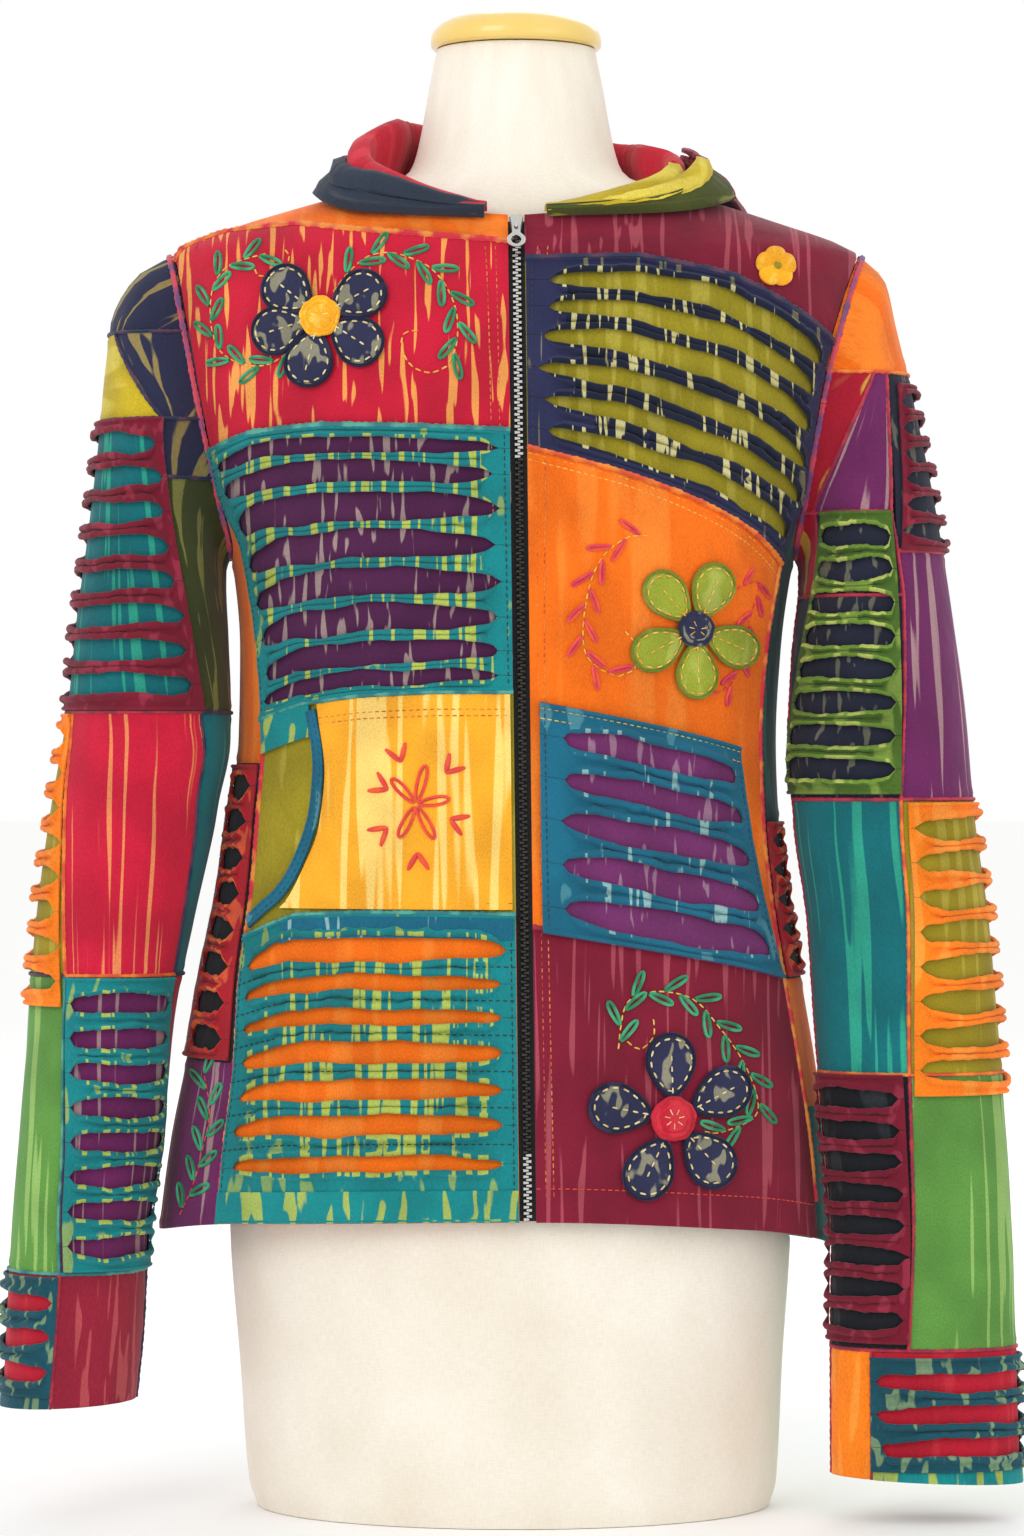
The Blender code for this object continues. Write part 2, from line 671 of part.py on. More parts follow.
def build_pockets():
    """The patch pockets: the right one in yellow with a bound edge, the left one slashed."""
    edge = Curve(POCKET_RIGHT_EDGE, "height", "share")

    def right_place(s, t, out):
        end = edge(POCKET_RIGHT_BOTTOM + POCKET_RIGHT_HEIGHT * t) - 0.004
        s = 0.01 + (end - 0.01) * s
        top = level_of("right", "waist", s) - 1.5
        return front_point("right", s, POCKET_RIGHT_BOTTOM + (top - POCKET_RIGHT_BOTTOM) * t, out)

    wall(
        "pocket_right",
        as_walls(right_place, "right"),
        np.linspace(0, 1, 6),
        np.linspace(0, 1, 8),
        LAID_ON,
        LAID_ON + UPPER_THICK,
        material_of("pocket_right", YELLOW),
    )
    path = np.array([(row.share * FRONT_WIDTH, row.height) for row in BINDING])
    way = np.gradient(path, axis=0)
    way /= np.linalg.norm(way, axis=1, keepdims=True)
    square = np.stack([-way[:, 1], way[:, 0]], 1) * BINDING_WIDTH
    steps = np.linspace(0, 1, len(path))

    def binding_place(s, t, out):
        across = np.interp(t, steps, path[:, 0]) + np.interp(t, steps, square[:, 0]) * s
        height = np.interp(t, steps, path[:, 1]) + np.interp(t, steps, square[:, 1]) * s
        return front_point("right", across / FRONT_WIDTH, height, out)

    wall(
        "pocket_right_binding",
        binding_place,
        np.array([0, 0.5, 1]),
        steps,
        LAID_ON,
        LAID_ON + 2.0,
        material_of("pocket_right_binding", BLUE),
    )

    def left_place(s, t, out):
        start = 0.03
        end = 0.965 + (0.815 - 0.965) * t
        low = 356 - 30 * s
        high = 495 - 27 * s
        return front_point("left", start + (end - start) * s, low + (high - low) * t, out)

    wall(
        "pocket_left_back",
        left_place,
        FRONT_ACROSS,
        np.linspace(0, 1, 7),
        LAID_ON,
        LAID_ON + 1.0,
        material_of("pocket_left_back", PURPLE),
    )
    slashed(
        "pocket_left",
        left_place,
        FRONT_ACROSS,
        POCKET_SLITS,
        LAID_ON + 1.0 + 2 * GAP,
        LAID_ON + 2.0 + 2 * GAP,
        material_of("pocket_left", BLUE),
    )


FlowerRow = namedtuple("FlowerRow", "name x z petal_x petal_radius centre petals colour middle")
FLOWERS = [
    FlowerRow("flower_chest", -117, 726, 26, 17, 11, (140, 28, -34, -104, -165), NAVY, YELLOW),
    FlowerRow("flower_waist", 107, 539, 24, 15, 8, (131, 68, -152, -88, -22), OLIVE, NAVY),
    FlowerRow("flower_hip", 93, 245, 32, 18, 10, (95, 23, -51, -117, 167), NAVY, RED),
    FlowerRow("flower_yoke", 157, 759, 5.5, 7, 2.5, (90, 18, -54, -126, 162), YELLOW, OLIVE),
]
FLOWER_LOW = 0.9
FLOWER_HIGH = 2.4
PETAL_SPOKES = (-26, -13, 0, 13, 26)


def flower_turns(row):
    """The turns of a flower's outline: five on each petal, and one in each notch."""
    petals = sorted(petal % 360 for petal in row.petals)
    turns = []
    for petal, after in zip(petals, petals[1:] + [petals[0] + 360]):
        turns += [petal + spoke for spoke in PETAL_SPOKES]
        turns.append((petal + after) / 2)
    return np.radians(turns)


def petal_reach(row, turn):
    """How far a flower reaches from its middle at each turn."""
    reach = np.full(turn.shape, 0.55 * row.petal_x)
    for petal in row.petals:
        apart = turn - np.radians(petal)
        off = row.petal_x * np.sin(apart)
        inside = (np.abs(off) < row.petal_radius) & (np.cos(apart) > 0)
        half = np.sqrt(np.maximum(row.petal_radius**2 - off**2, 0))
        reach = np.maximum(reach, np.where(inside, row.petal_x * np.cos(apart) + half, 0))
    return reach


def disc(name, x, z, turn, radii, low, high, material):
    """A flat piece sewn on a front: rings of points round a middle, on both faces."""
    shares = (0.55, 1.0) if max(radii) > 12 else (1.0,)
    around_x = [np.array([float(x)])] + [x + radii * k * np.cos(turn) for k in shares]
    around_z = [np.array([float(z)])] + [z + radii * k * np.sin(turn) for k in shares]
    xs, zs = np.concatenate(around_x), np.concatenate(around_z)
    angles = angle_at(xs, zs)
    outer = torso(angles, zs, high)
    inner = torso(angles, zs, low)
    count, spokes = len(xs), len(radii)
    faces = []
    for k in range(spokes):
        n = (k + 1) % spokes
        faces.append((0, 1 + k, 1 + n))
        if len(shares) > 1:
            faces.append((1 + k, 1 + spokes + k, 1 + spokes + n, 1 + n))
    faces += [tuple(i + count for i in reversed(face)) for face in list(faces)]
    for k in range(spokes):
        n = (k + 1) % spokes
        rim = 1 + spokes * (len(shares) - 1)
        a, b = rim + k, rim + n
        faces.append((b, a, a + count, b + count))
    return add_object(name, np.concatenate([outer, inner]), faces, material)


def build_flowers():
    """The cloth flowers sewn on the fronts, each with a round middle."""
    for row in FLOWERS:
        turn = flower_turns(row)
        petals = material_of(row.name, row.colour)
        reach = petal_reach(row, turn)
        disc(row.name, row.x, row.z, turn, reach, FLOWER_LOW, FLOWER_HIGH, petals)
        middle = material_of(f"{row.name}_middle", row.middle)
        turn = np.linspace(0, 2 * np.pi, 12, endpoint=False)
        radii = np.full(12, float(row.centre))
        low = FLOWER_HIGH + 2 * GAP
        disc(f"{row.name}_middle", row.x, row.z, turn, radii, low, low + 1.2, middle)


ZIP_HEIGHTS = [186, 240, 300, 367, 430, 500, 545, 590, 635, 680, 712, 740, 758, 774, 787]
TAPE_HALF = 13.0
CHAIN_HALF = 2.8
TAPE_LOW, TAPE_HIGH = -4.9, -3.9


def build_zip():
    """The closed zip: two tapes behind the front edges, and the teeth between them."""
    heights = np.array(ZIP_HEIGHTS, float)

    def strip(start, end):
        def place(s, height, out):
            x = zip_x(height) + start + (end - start) * s
            return torso(angle_at(x, height), height, out)

        return place

    black = material_of("zip_tape", CHARCOAL)
    ends = np.array([0.0, 1.0])
    wall("zip_tape_right", strip(-TAPE_HALF, -0.2), ends, heights, TAPE_LOW, TAPE_HIGH, black)
    tape = material_of("zip_tape_left", CHARCOAL)
    wall("zip_tape_left", strip(0.2, TAPE_HALF), ends, heights, TAPE_LOW, TAPE_HIGH, tape)
    teeth = material_of("zip_teeth", STEEL, 1.0, 0.35)
    wall("zip_teeth", strip(-CHAIN_HALF, CHAIN_HALF), ends, heights, TAPE_HIGH + 0.5, 0.5, teeth)


SLIDER_HEIGHT = 781
SLIDER_OUT = 1.0
SLIDER_THICK = 2.6
BAIL_CENTRE = 1.0
BAIL_RADIUS = 2.6
TabRow = namedtuple("TabRow", "down half hole")
TAB = [
    TabRow(-0.6, 1.9, 0),
    TabRow(0.9, 2.3, 0),
    TabRow(1.6, 2.5, 1.2),
    TabRow(3.6, 2.5, 1.2),
    TabRow(4.3, 2.4, 0),
    TabRow(6.5, 2.5, 0),
    TabRow(8.2, 4.2, 0),
    TabRow(9.6, 5.3, 2.4),
    TabRow(11.8, 5.75, 3.2),
    TabRow(14.0, 5.3, 2.4),
    TabRow(15.4, 4.2, 0),
    TabRow(16.8, 2.0, 0),
]
TAB_THICK = 1.0


def slider_frame():
    """Where the slider sits: its middle, and its across, down and out directions."""
    x = zip_x(SLIDER_HEIGHT)
    here = torso(angle_at(x, SLIDER_HEIGHT), SLIDER_HEIGHT, 0.0)
    below = torso(angle_at(x, SLIDER_HEIGHT - 4), SLIDER_HEIGHT - 4, 0.0)
    down = below - here
    down[0] = 0
    down /= np.linalg.norm(down)
    across = np.array([1.0, 0.0, 0.0])
    return here, across, down, np.cross(down, across)


def in_frame(points):
    """Points given across, down and out from the slider's middle, as places."""
    here, across, down, out = slider_frame()
    points = np.asarray(points, float)
    return here + points[:, :1] * across + points[:, 1:2] * down + points[:, 2:] * out


def tab_axis():
    """The pull tab's hinge, given across, down and out from the slider's middle."""
    return np.array([0.0, 1.5, SLIDER_OUT + SLIDER_THICK + BAIL_CENTRE])


def build_slider():
    """The zip's slider, its bail, and the pull tab that turns in the bail."""
    steel = material_of("zip_slider", STEEL, 1.0, 0.25)
    outline = [(-4.3, -5.5), (-2.4, 6.5), (2.4, 6.5), (4.3, -5.5), (2.6, -6.8), (-2.6, -6.8)]
    rings = []
    for out, share in ((0, 0.9), (0.5, 1.0), (SLIDER_THICK - 0.5, 1.0), (SLIDER_THICK, 0.85)):
        level = SLIDER_OUT + out
        rings.append(in_frame([(x * share, y * share, level) for x, y in outline]))
    rings_solid("zip_slider", rings, steel)
    centre = tab_axis()
    sections = []
    foot = SLIDER_OUT + SLIDER_THICK + GAP
    inner, outer = BAIL_RADIUS - 0.6, BAIL_RADIUS + 0.6
    half = 0.7

    def bar(near, far):
        return in_frame([(-half, *near), (-half, *far), (half, *far), (half, *near)])

    for turn in [None, *range(0, 181, 30), None]:
        if turn is None:
            way = 1 if not sections else -1
            near, far = centre[1] + way * inner, centre[1] + way * outer
            sections.append(bar((near, foot), (far, foot)))
            continue
        cos, sin = np.cos(np.radians(turn)), np.sin(np.radians(turn))
        near = (centre[1] + inner * cos, centre[2] + inner * sin)
        far = (centre[1] + outer * cos, centre[2] + outer * sin)
        sections.append(bar(near, far))
    bail = material_of("zip_bail", STEEL, 1.0, 0.25)
    rings_solid("zip_bail", sections, bail)
    points, lines = [], []
    for row in TAB:
        line = []
        for x in (-row.half, -row.hole, row.hole, row.half):
            if row.hole == 0 and x == row.hole and len(line) == 2:
                line.append(line[-1])
                continue
            line.append(len(points))
            points.append((x, centre[1] + row.down, centre[2]))
        lines.append(line)
    count = len(points)
    points = np.array(points, float)
    front = in_frame(points + np.array([0, 0, TAB_THICK / 2]))
    back = in_frame(points - np.array([0, 0, TAB_THICK / 2]))
    faces, edges = [], []
    for upper, lower, row, after in zip(lines, lines[1:], TAB, TAB[1:]):
        faces.append((upper[0], lower[0], lower[1], upper[1]))
        faces.append((upper[2], lower[2], lower[3], upper[3]))
        edges += [(upper[0], lower[0]), (lower[3], upper[3])]
        if row.hole or after.hole:
            edges += [(lower[1], upper[1]), (upper[2], lower[2])]
    edges += [(lines[0][1], lines[0][0]), (lines[0][3], lines[0][2])]
    edges += [(lines[-1][0], lines[-1][1]), (lines[-1][2], lines[-1][3])]
    faces += [tuple(i + count for i in reversed(face)) for face in list(faces)]
    for a, b in edges:
        faces.append((b, a, a + count, b + count))
    tab = material_of("zip_pull_tab", STEEL, 1.0, 0.25)
    add_object("zip_pull_tab", np.concatenate([front, back]), faces, tab)


SIDE_ACROSS = np.array([0, 0.07, 0.16, 0.3, 0.5, 0.7, 0.84, 0.93, 1.0])
LOWER_SIDE_ACROSS = np.array([0, 0.14, 0.5, 0.86, 1.0])
SideRow = namedtuple("SideRow", "name side low high rows colour")
SIDES = [
    SideRow("side_right_upper", "right", 458, None, 6, ORANGE),
    SideRow("side_right_middle", "right", 276, 458, 6, CHARCOAL),
    SideRow("side_right_hem", "right", None, 276, 4, PURPLE),
    SideRow("side_left_upper", "left", 423, None, 6, CHARCOAL),
    SideRow("side_left_middle", "left", 326, 423, 3, CHARCOAL),
    SideRow("side_left_hip", "left", 248, 326, 3, ORANGE),
    SideRow("side_left_hem", "left", None, 248, 3, TEAL),
]
RIP_ACROSS = np.array([0.03, 0.12, 0.24, 0.36, 0.48, 0.6, 0.69])
RIPS_RIGHT = [SlitRow(0.07 + 0.1225 * k, 0.030) for k in range(8)]
RIPS_LEFT = [SlitRow(0.12 + 0.19 * k, 0.055) for k in range(5)]


def side_place(side, bottom, top):
    """place(s, t, out) for a side patch, from the front seam to the back seam."""

    def place(s, t, out):
        sign = SIGN[side]
        inset = np.degrees(SEAM / 150)
        angle = front_edge(side, 170.0) * (1 - s) + BACK_SEAM * s
        height = np.zeros(np.shape(s))
        for _ in range(6):
            low = HEM_AT(sign * angle) if bottom is None else bottom + SEAM
            high = armhole_bottom(angle) - 1.0 if top is None else top - SEAM
            height = low + (high - low) * t
            start = front_edge(side, np.minimum(height, ARMHOLE_JOIN)) + inset
            angle = start + (BACK_SEAM - inset - start) * s
        return torso(sign * angle, height, out)

    return as_walls(place, side)


def build_sides():
    """The side patches under the arms, and the two ruffled layers with rips in them."""
    for row in SIDES:
        place = side_place(row.side, row.low, row.high)
        up = np.linspace(0, 1, row.rows + 1)
        material = material_of(row.name, row.colour)
        across = LOWER_SIDE_ACROSS if row.high else SIDE_ACROSS
        wall(row.name, place, across, up, -CLOTH, 0, material)
    for side, low, high, rips in (("right", 276, 458, RIPS_RIGHT), ("left", 326, 423, RIPS_LEFT)):
        name = f"ruffle_{side}"
        across = RIP_ACROSS if side == "left" else (1 - RIP_ACROSS)[::-1]
        place = side_place(side, low + 1, high - 1)
        material = material_of(name, RED)
        slashed(name, place, across, rips, LAID_ON, LAID_ON + UPPER_THICK, material)


BACK_HEIGHTS = [0, 0.06, 0.12, 0.18, 0.24, 0.30, 0.36, 0.42, 0.48, 0.54, 0.60, 0.655]
BACK_HEIGHTS += [0.71, 0.76, 0.81, 0.86, 0.90, 0.93, 0.95, 0.97, 1.0]


def back_place(s, t, out):
    """place for the back, from the wearer's left round to the wearer's right."""
    inset = np.degrees(SEAM / 150)
    plain = 90 + 180 * s
    low = HEM_AT((plain + 180) % 360 - 180)
    high = NECKLINE_AT(180 - np.abs(plain - 180))
    height = low + (high - low) * t
    edge = np.maximum(back_edge(height), 90) + inset
    angle = edge + (360 - 2 * edge) * s
    return torso(angle, height, out)


def build_back():
    """The back, in one piece from shoulder seam to hem."""
    material = material_of("back", TEAL)
    across = np.linspace(0, 1, 15)
    wall("back", back_place, across, np.array(BACK_HEIGHTS), -CLOTH, 0, material)


def build_sleeves():
    """The two sleeves, each an open tube from its armhole to its cuff."""
    turn = np.linspace(0, 360, SLEEVE_COLUMNS, endpoint=False)
    rings = np.array([0, 0.6, 1.3, 2.2, 3.2, 4.2, 5.2, 6.2, 7.2, 8.2, 9.3, 10.5, 11.7, 12.9, 14])
    for side, colour in (("right", RED), ("left", GREEN)):
        def place(s, t, out, side=side):
            return sleeve(side, s, t, out)

        order = turn if side == "right" else turn[::-1]
        material = material_of(f"sleeve_{side}", colour)
        wall(f"sleeve_{side}", place, order, rings, -CLOTH, 0, material, True)


SleeveUpperRow = namedtuple(
    "SleeveUpperRow", "name side low high low_in high_in low_out high_out slits reach lift colour"
)
SLEEVE_UPPERS = [
    SleeveUpperRow("upper_arm_right", "right", 490, 670, -44, 6, 112, 115, 8, 0.30, 1.6, MAROON),
    SleeveUpperRow("upper_elbow_right", "right", 310, 488, 28, 62, 115, 118, 8, 0.26, 1.6, ORANGE),
    SleeveUpperRow("upper_forearm_right", "right", 150, 328, -92, -62, 6, 25, 8, 0.28, 1.9, TEAL),
    SleeveUpperRow("upper_cuff_right", "right", 74, 147, 12, 10, 112, 112, 3, 0.26, 1.2, BLUE),
    SleeveUpperRow("upper_shoulder_left", "left", 587, 690, 24, 50, 112, 112, 6, 0.28, 1.9, MAROON),
    SleeveUpperRow("upper_arm_left", "left", 439, 611, -92, -34, 8, 21, 8, 0.32, 1.6, OLIVE),
    SleeveUpperRow("upper_elbow_left", "left", 257, 434, -2, 12, 112, 112, 8, 0.26, 1.6, ORANGE),
    SleeveUpperRow("upper_forearm_left", "left", 108, 270, -94, -94, -12, -8, 8, 0.30, 1.9, MAROON),
    SleeveUpperRow("upper_cuff_left", "left", 31, 100, -37, -37, 108, 108, 3, 0.28, 1.6, BLUE),
]


SLEEVE_UPPER_TURN = 23.0


def sleeve_upper_place(row):
    """place(s, t, out) for a slashed layer on a sleeve, given in turns from its front."""

    def place(s, t, out):
        height = row.low + (row.high - row.low) * t
        start = row.low_in + (row.high_in - row.low_in) * t
        end = row.low_out + (row.high_out - row.low_out) * t
        phi = start + (end - start) * s
        down = np.full(np.shape(s), 7.0)
        for _ in range(8):
            psi = phi - SLEEVE_AT[row.side]["seam"](down)
            down = sleeve_down(row.side, psi, height)
        return sleeve(row.side, psi, down, out)

    return as_walls(place, row.side)


def build_sleeve_uppers():
    """The slashed layers over the sleeves."""
    for row in SLEEVE_UPPERS:
        pitch = 1 / (row.slits + 0.5)
        slits = [SlitRow(pitch * (k + 0.75), pitch * row.reach) for k in range(row.slits)]
        material = material_of(row.name, row.colour)
        place = sleeve_upper_place(row)
        reach = row.low_out - row.low_in
        cells = max(3, round(reach * 0.88 / SLEEVE_UPPER_TURN))
        across = np.concatenate([[0], np.linspace(0.06, 0.94, cells + 1), [1]])
        high = row.lift + UPPER_THICK
        slashed(row.name, place, across, slits, row.lift, high, material)


def hood_section(angle, share):
    """A point of the hood's middle line, angle round the neck and share along the cloth.

    The cloth stands up from the neckline, folds over, lies down on the shoulder or the
    back to its fold, and comes up again outside to the edge that would frame the face.
    """
    turned = (angle + 180) % 360 - 180
    mirror = np.abs(turned)
    at = {}
    for column in HoodRow._fields[1:]:
        right, left = HOOD_AT["right"][column](mirror), HOOD_AT["left"][column](mirror)
        at[column] = np.where(turned < 0, right, left)
    seam = NECKLINE_AT(mirror)
    low = seam - at["fold"]
    lift = HOOD_LIFT
    base = section(TORSO_AT, turned, seam)
    spread = np.stack([base[..., 0], base[..., 1], 0 * seam], -1)
    spread /= np.linalg.norm(spread, axis=-1, keepdims=True)

    def beside(rise, aside):
        return base + spread * aside[..., None] + np.stack([0 * seam, 0 * seam, rise], -1)

    shoulder = torso(turned, seam - at["fold"] * 0.15, lift + 0.6)
    half_way = torso(turned, seam - at["fold"] * 0.5, lift + 0.6)
    bottom_in = torso(turned, low, lift)
    bottom = torso(turned, low - 0.06 * at["fold"], at["puff"] * 0.5)
    bottom_out = torso(turned, low + at["fold"] * 0.12, at["puff"] * 0.95)
    upper = torso(turned, seam - at["fold"] * 0.45, at["puff"] + 4)
    marks = [
        beside(0 * seam + 0.8, 0 * seam - 1.0),
        beside(at["stand"] * 0.55, -0.18 * at["stand"]),
        beside(at["stand"], -0.16 * at["stand"] + 1.0),
        beside(at["stand"] * 0.86, 5.0 + 0.05 * at["stand"]),
        beside(at["stand"] * 0.3 + 2.5, 7.0 + 0.05 * at["stand"]),
        shoulder,
        half_way,
        bottom_in,
        bottom,
        bottom_out,
        upper,
        beside(at["rim"] * 0.4, at["rim_out"] + 3.0),
        beside(at["rim"], at["rim_out"]),
        beside(at["rim"] + 1.0, at["rim_out"] - 7.0),
    ]
    return through(marks, share)


def through(marks, share):
    """A smooth curve through marks, read at a share from 0 to 1."""
    last = len(marks) - 1
    place = np.clip(share, 0, 1) * last
    k = np.clip(np.floor(place).astype(int), 0, last - 1)
    t = (place - k)[..., None]
    stack = np.stack(marks)

    def mark(index):
        index = np.clip(index, 0, last)
        return np.take_along_axis(stack, index[None, ..., None], 0)[0]

    a, b, c, d = mark(k - 1), mark(k), mark(k + 1), mark(k + 2)
    bend = 2 * a - 5 * b + 4 * c - d
    twist = 3 * (b - c) + d - a
    return 0.5 * (2 * b + (c - a) * t + bend * t**2 + twist * t**3)


def hood(angle, share, out):
    """A point on the hood, moved to either side of its middle line."""
    angle, share, out = np.broadcast_arrays(angle, share, out)
    angle, share = angle.astype(float), share.astype(float)
    return moved_out(hood_section, angle, share, out, 1.0, 0.004)


HOOD_HALF_ANGLES = [6, 18, 32, 48, 64, 80, 95, 108, 120, 131, 141, 150, 160, 170, 180]
HOOD_ROWS = 15


def build_hood():
    """The hood, lying back off the neck, open at the top."""
    left = np.array(HOOD_HALF_ANGLES, float)
    across = np.concatenate([left, 360 - left[-2::-1]])
    up = np.linspace(0, 1, HOOD_ROWS + 1)
    material = material_of("hood", RED)
    wall("hood", hood, across, up, -CLOTH / 2, CLOTH / 2, material)


def remove_everything():
    """Empties the scene before the piece is built."""
    for old in list(bpy.data.objects):
        bpy.data.objects.remove(old)


def main():
    remove_everything()
    build_form()
    build_fronts()
    build_pockets()
    build_flowers()
    build_zip()
    build_slider()
    build_sides()
    build_back()
    build_sleeves()
    build_sleeve_uppers()
    build_hood()


if __name__ == "__main__":
    main()
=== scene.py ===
"""The looks of a patchwork hooded jacket with slashed upper layers, on a limbless dress form.

Wearer's right is -X and wearer's left is +X, and the front faces -Y. Sizes are millimetres and
angles are degrees, turned to metres and radians where Blender needs them.
"""

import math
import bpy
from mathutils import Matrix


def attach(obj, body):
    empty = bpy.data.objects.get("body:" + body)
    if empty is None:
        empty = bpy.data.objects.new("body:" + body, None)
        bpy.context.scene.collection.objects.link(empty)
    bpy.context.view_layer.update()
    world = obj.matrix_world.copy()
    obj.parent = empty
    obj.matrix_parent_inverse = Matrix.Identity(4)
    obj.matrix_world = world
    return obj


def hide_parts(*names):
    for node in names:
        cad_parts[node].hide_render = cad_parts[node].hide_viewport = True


bl_info = {
    "name": "Patchwork hooded jacket",
    "version": (1, 0, 0),
    "blender": (4, 5, 0),
    "location": "3D View > Sidebar > Jacket",
    "description": "Builds a patchwork hooded jacket on a dress form around its packed solids",
    "category": "Object",
}

from collections import namedtuple

import bpy
import numpy as np
from mathutils import Vector

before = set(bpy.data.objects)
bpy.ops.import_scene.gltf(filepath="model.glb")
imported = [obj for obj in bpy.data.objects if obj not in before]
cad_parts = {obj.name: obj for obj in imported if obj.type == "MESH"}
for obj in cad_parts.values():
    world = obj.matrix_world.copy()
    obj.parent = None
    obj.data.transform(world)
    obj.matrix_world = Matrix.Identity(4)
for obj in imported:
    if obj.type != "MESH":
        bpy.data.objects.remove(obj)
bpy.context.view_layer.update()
BODY = "jacket_and_form"

MM = 0.001
CLOTH = 2.0
LAYER = 1.2
LAID_ON = 1.3
GRID = 4.0

TorsoRow = namedtuple("TorsoRow", "height right left front back")
TORSO = [
    TorsoRow(145, 223, 199, 136, 132),
    TorsoRow(169, 221, 196, 134, 130),
    TorsoRow(224, 214, 192, 129, 126),
    TorsoRow(275, 204, 185, 124, 122),
    TorsoRow(322, 196, 177, 119, 117),
    TorsoRow(381, 184, 167, 111, 107),
    TorsoRow(418, 179, 163, 108, 101),
    TorsoRow(472, 172, 161, 107, 97),
    TorsoRow(528, 171, 164, 113, 99),
    TorsoRow(584, 176, 172, 121, 103),
    TorsoRow(621, 190, 184, 123, 105),
    TorsoRow(660, 202, 193, 121, 104),
    TorsoRow(700, 210, 201, 115, 100),
    TorsoRow(745, 214, 210, 104, 94),
    TorsoRow(770, 213, 213, 94, 88),
    TorsoRow(780, 200, 197, 88, 84),
    TorsoRow(790, 172, 168, 82, 80),
    TorsoRow(800, 138, 137, 78, 76),
    TorsoRow(810, 102, 104, 75, 72),
    TorsoRow(818, 76, 77, 72, 69),
    TorsoRow(825, 70, 70, 70, 66),
]
FormRow = namedtuple("FormRow", "height right left front back")
FORM = [
    FormRow(0, 160, 157, 112, 110),
    FormRow(14, 165, 161, 116, 113),
    FormRow(90, 171, 165, 119, 117),
    FormRow(170, 177, 170, 122, 121),
    FormRow(235, 178, 171, 120, 120),
    FormRow(300, 170, 164, 113, 112),
    FormRow(370, 154, 149, 101, 98),
    FormRow(440, 143, 140, 96, 87),
    FormRow(510, 147, 144, 102, 88),
    FormRow(580, 158, 155, 113, 93),
    FormRow(640, 167, 164, 113, 95),
    FormRow(700, 178, 175, 103, 91),
    FormRow(748, 184, 182, 91, 82),
    FormRow(790, 165, 161, 71, 73),
    FormRow(822, 67.5, 67.5, 64, 61),
    FormRow(834, 62, 62, 59, 57),
    FormRow(852, 58, 58, 55, 54),
    FormRow(872, 54.5, 54.5, 52, 51),
    FormRow(899.6, 49, 49, 47, 47),
]
CapRow = namedtuple("CapRow", "height radius")
CAP = [
    CapRow(900.3, 48),
    CapRow(900.4, 51.2),
    CapRow(901.6, 52.6),
    CapRow(904.5, 53.0),
    CapRow(908, 52.6),
    CapRow(911.5, 50.8),
    CapRow(914.8, 47.5),
    CapRow(918, 41.5),
    CapRow(920.4, 33),
    CapRow(921.8, 22),
    CapRow(922.4, 10),
    CapRow(922.5, 1),
]
HemRow = namedtuple("HemRow", "angle height")
HEM = [
    HemRow(-180, 166),
    HemRow(-90, 170),
    HemRow(-50, 180),
    HemRow(0, 185),
    HemRow(45, 177),
    HemRow(70, 168),
    HemRow(90, 160),
    HemRow(180, 166),
]
NecklineRow = namedtuple("NecklineRow", "angle height")
NECKLINE = [
    NecklineRow(0, 789),
    NecklineRow(30, 796),
    NecklineRow(60, 808),
    NecklineRow(90, 818),
    NecklineRow(135, 822),
    NecklineRow(180, 823),
]
SideSeamRow = namedtuple("SideSeamRow", "height right left")
SIDE_SEAM = [
    SideSeamRow(150, 55, 71),
    SideSeamRow(250, 56, 69),
    SideSeamRow(345, 60, 68),
    SideSeamRow(418, 62, 68),
    SideSeamRow(500, 65, 68),
    SideSeamRow(560, 69, 70),
    SideSeamRow(622, 72, 72),
]
BACK_SEAM = 108
ARMHOLE_TOP = 774
ARMHOLE_BOTTOM = 584
ARMHOLE_MIDDLE = (ARMHOLE_TOP + ARMHOLE_BOTTOM) / 2
ARMHOLE_HALF = (ARMHOLE_TOP - ARMHOLE_BOTTOM) / 2
ARMHOLE_HALF_ANGLE = 21
ARMHOLE_SQUARENESS = 0.7
ARMHOLE_JOIN = 622
ARMHOLE_INSET = 0.975
SEAM_INSET = 0.1

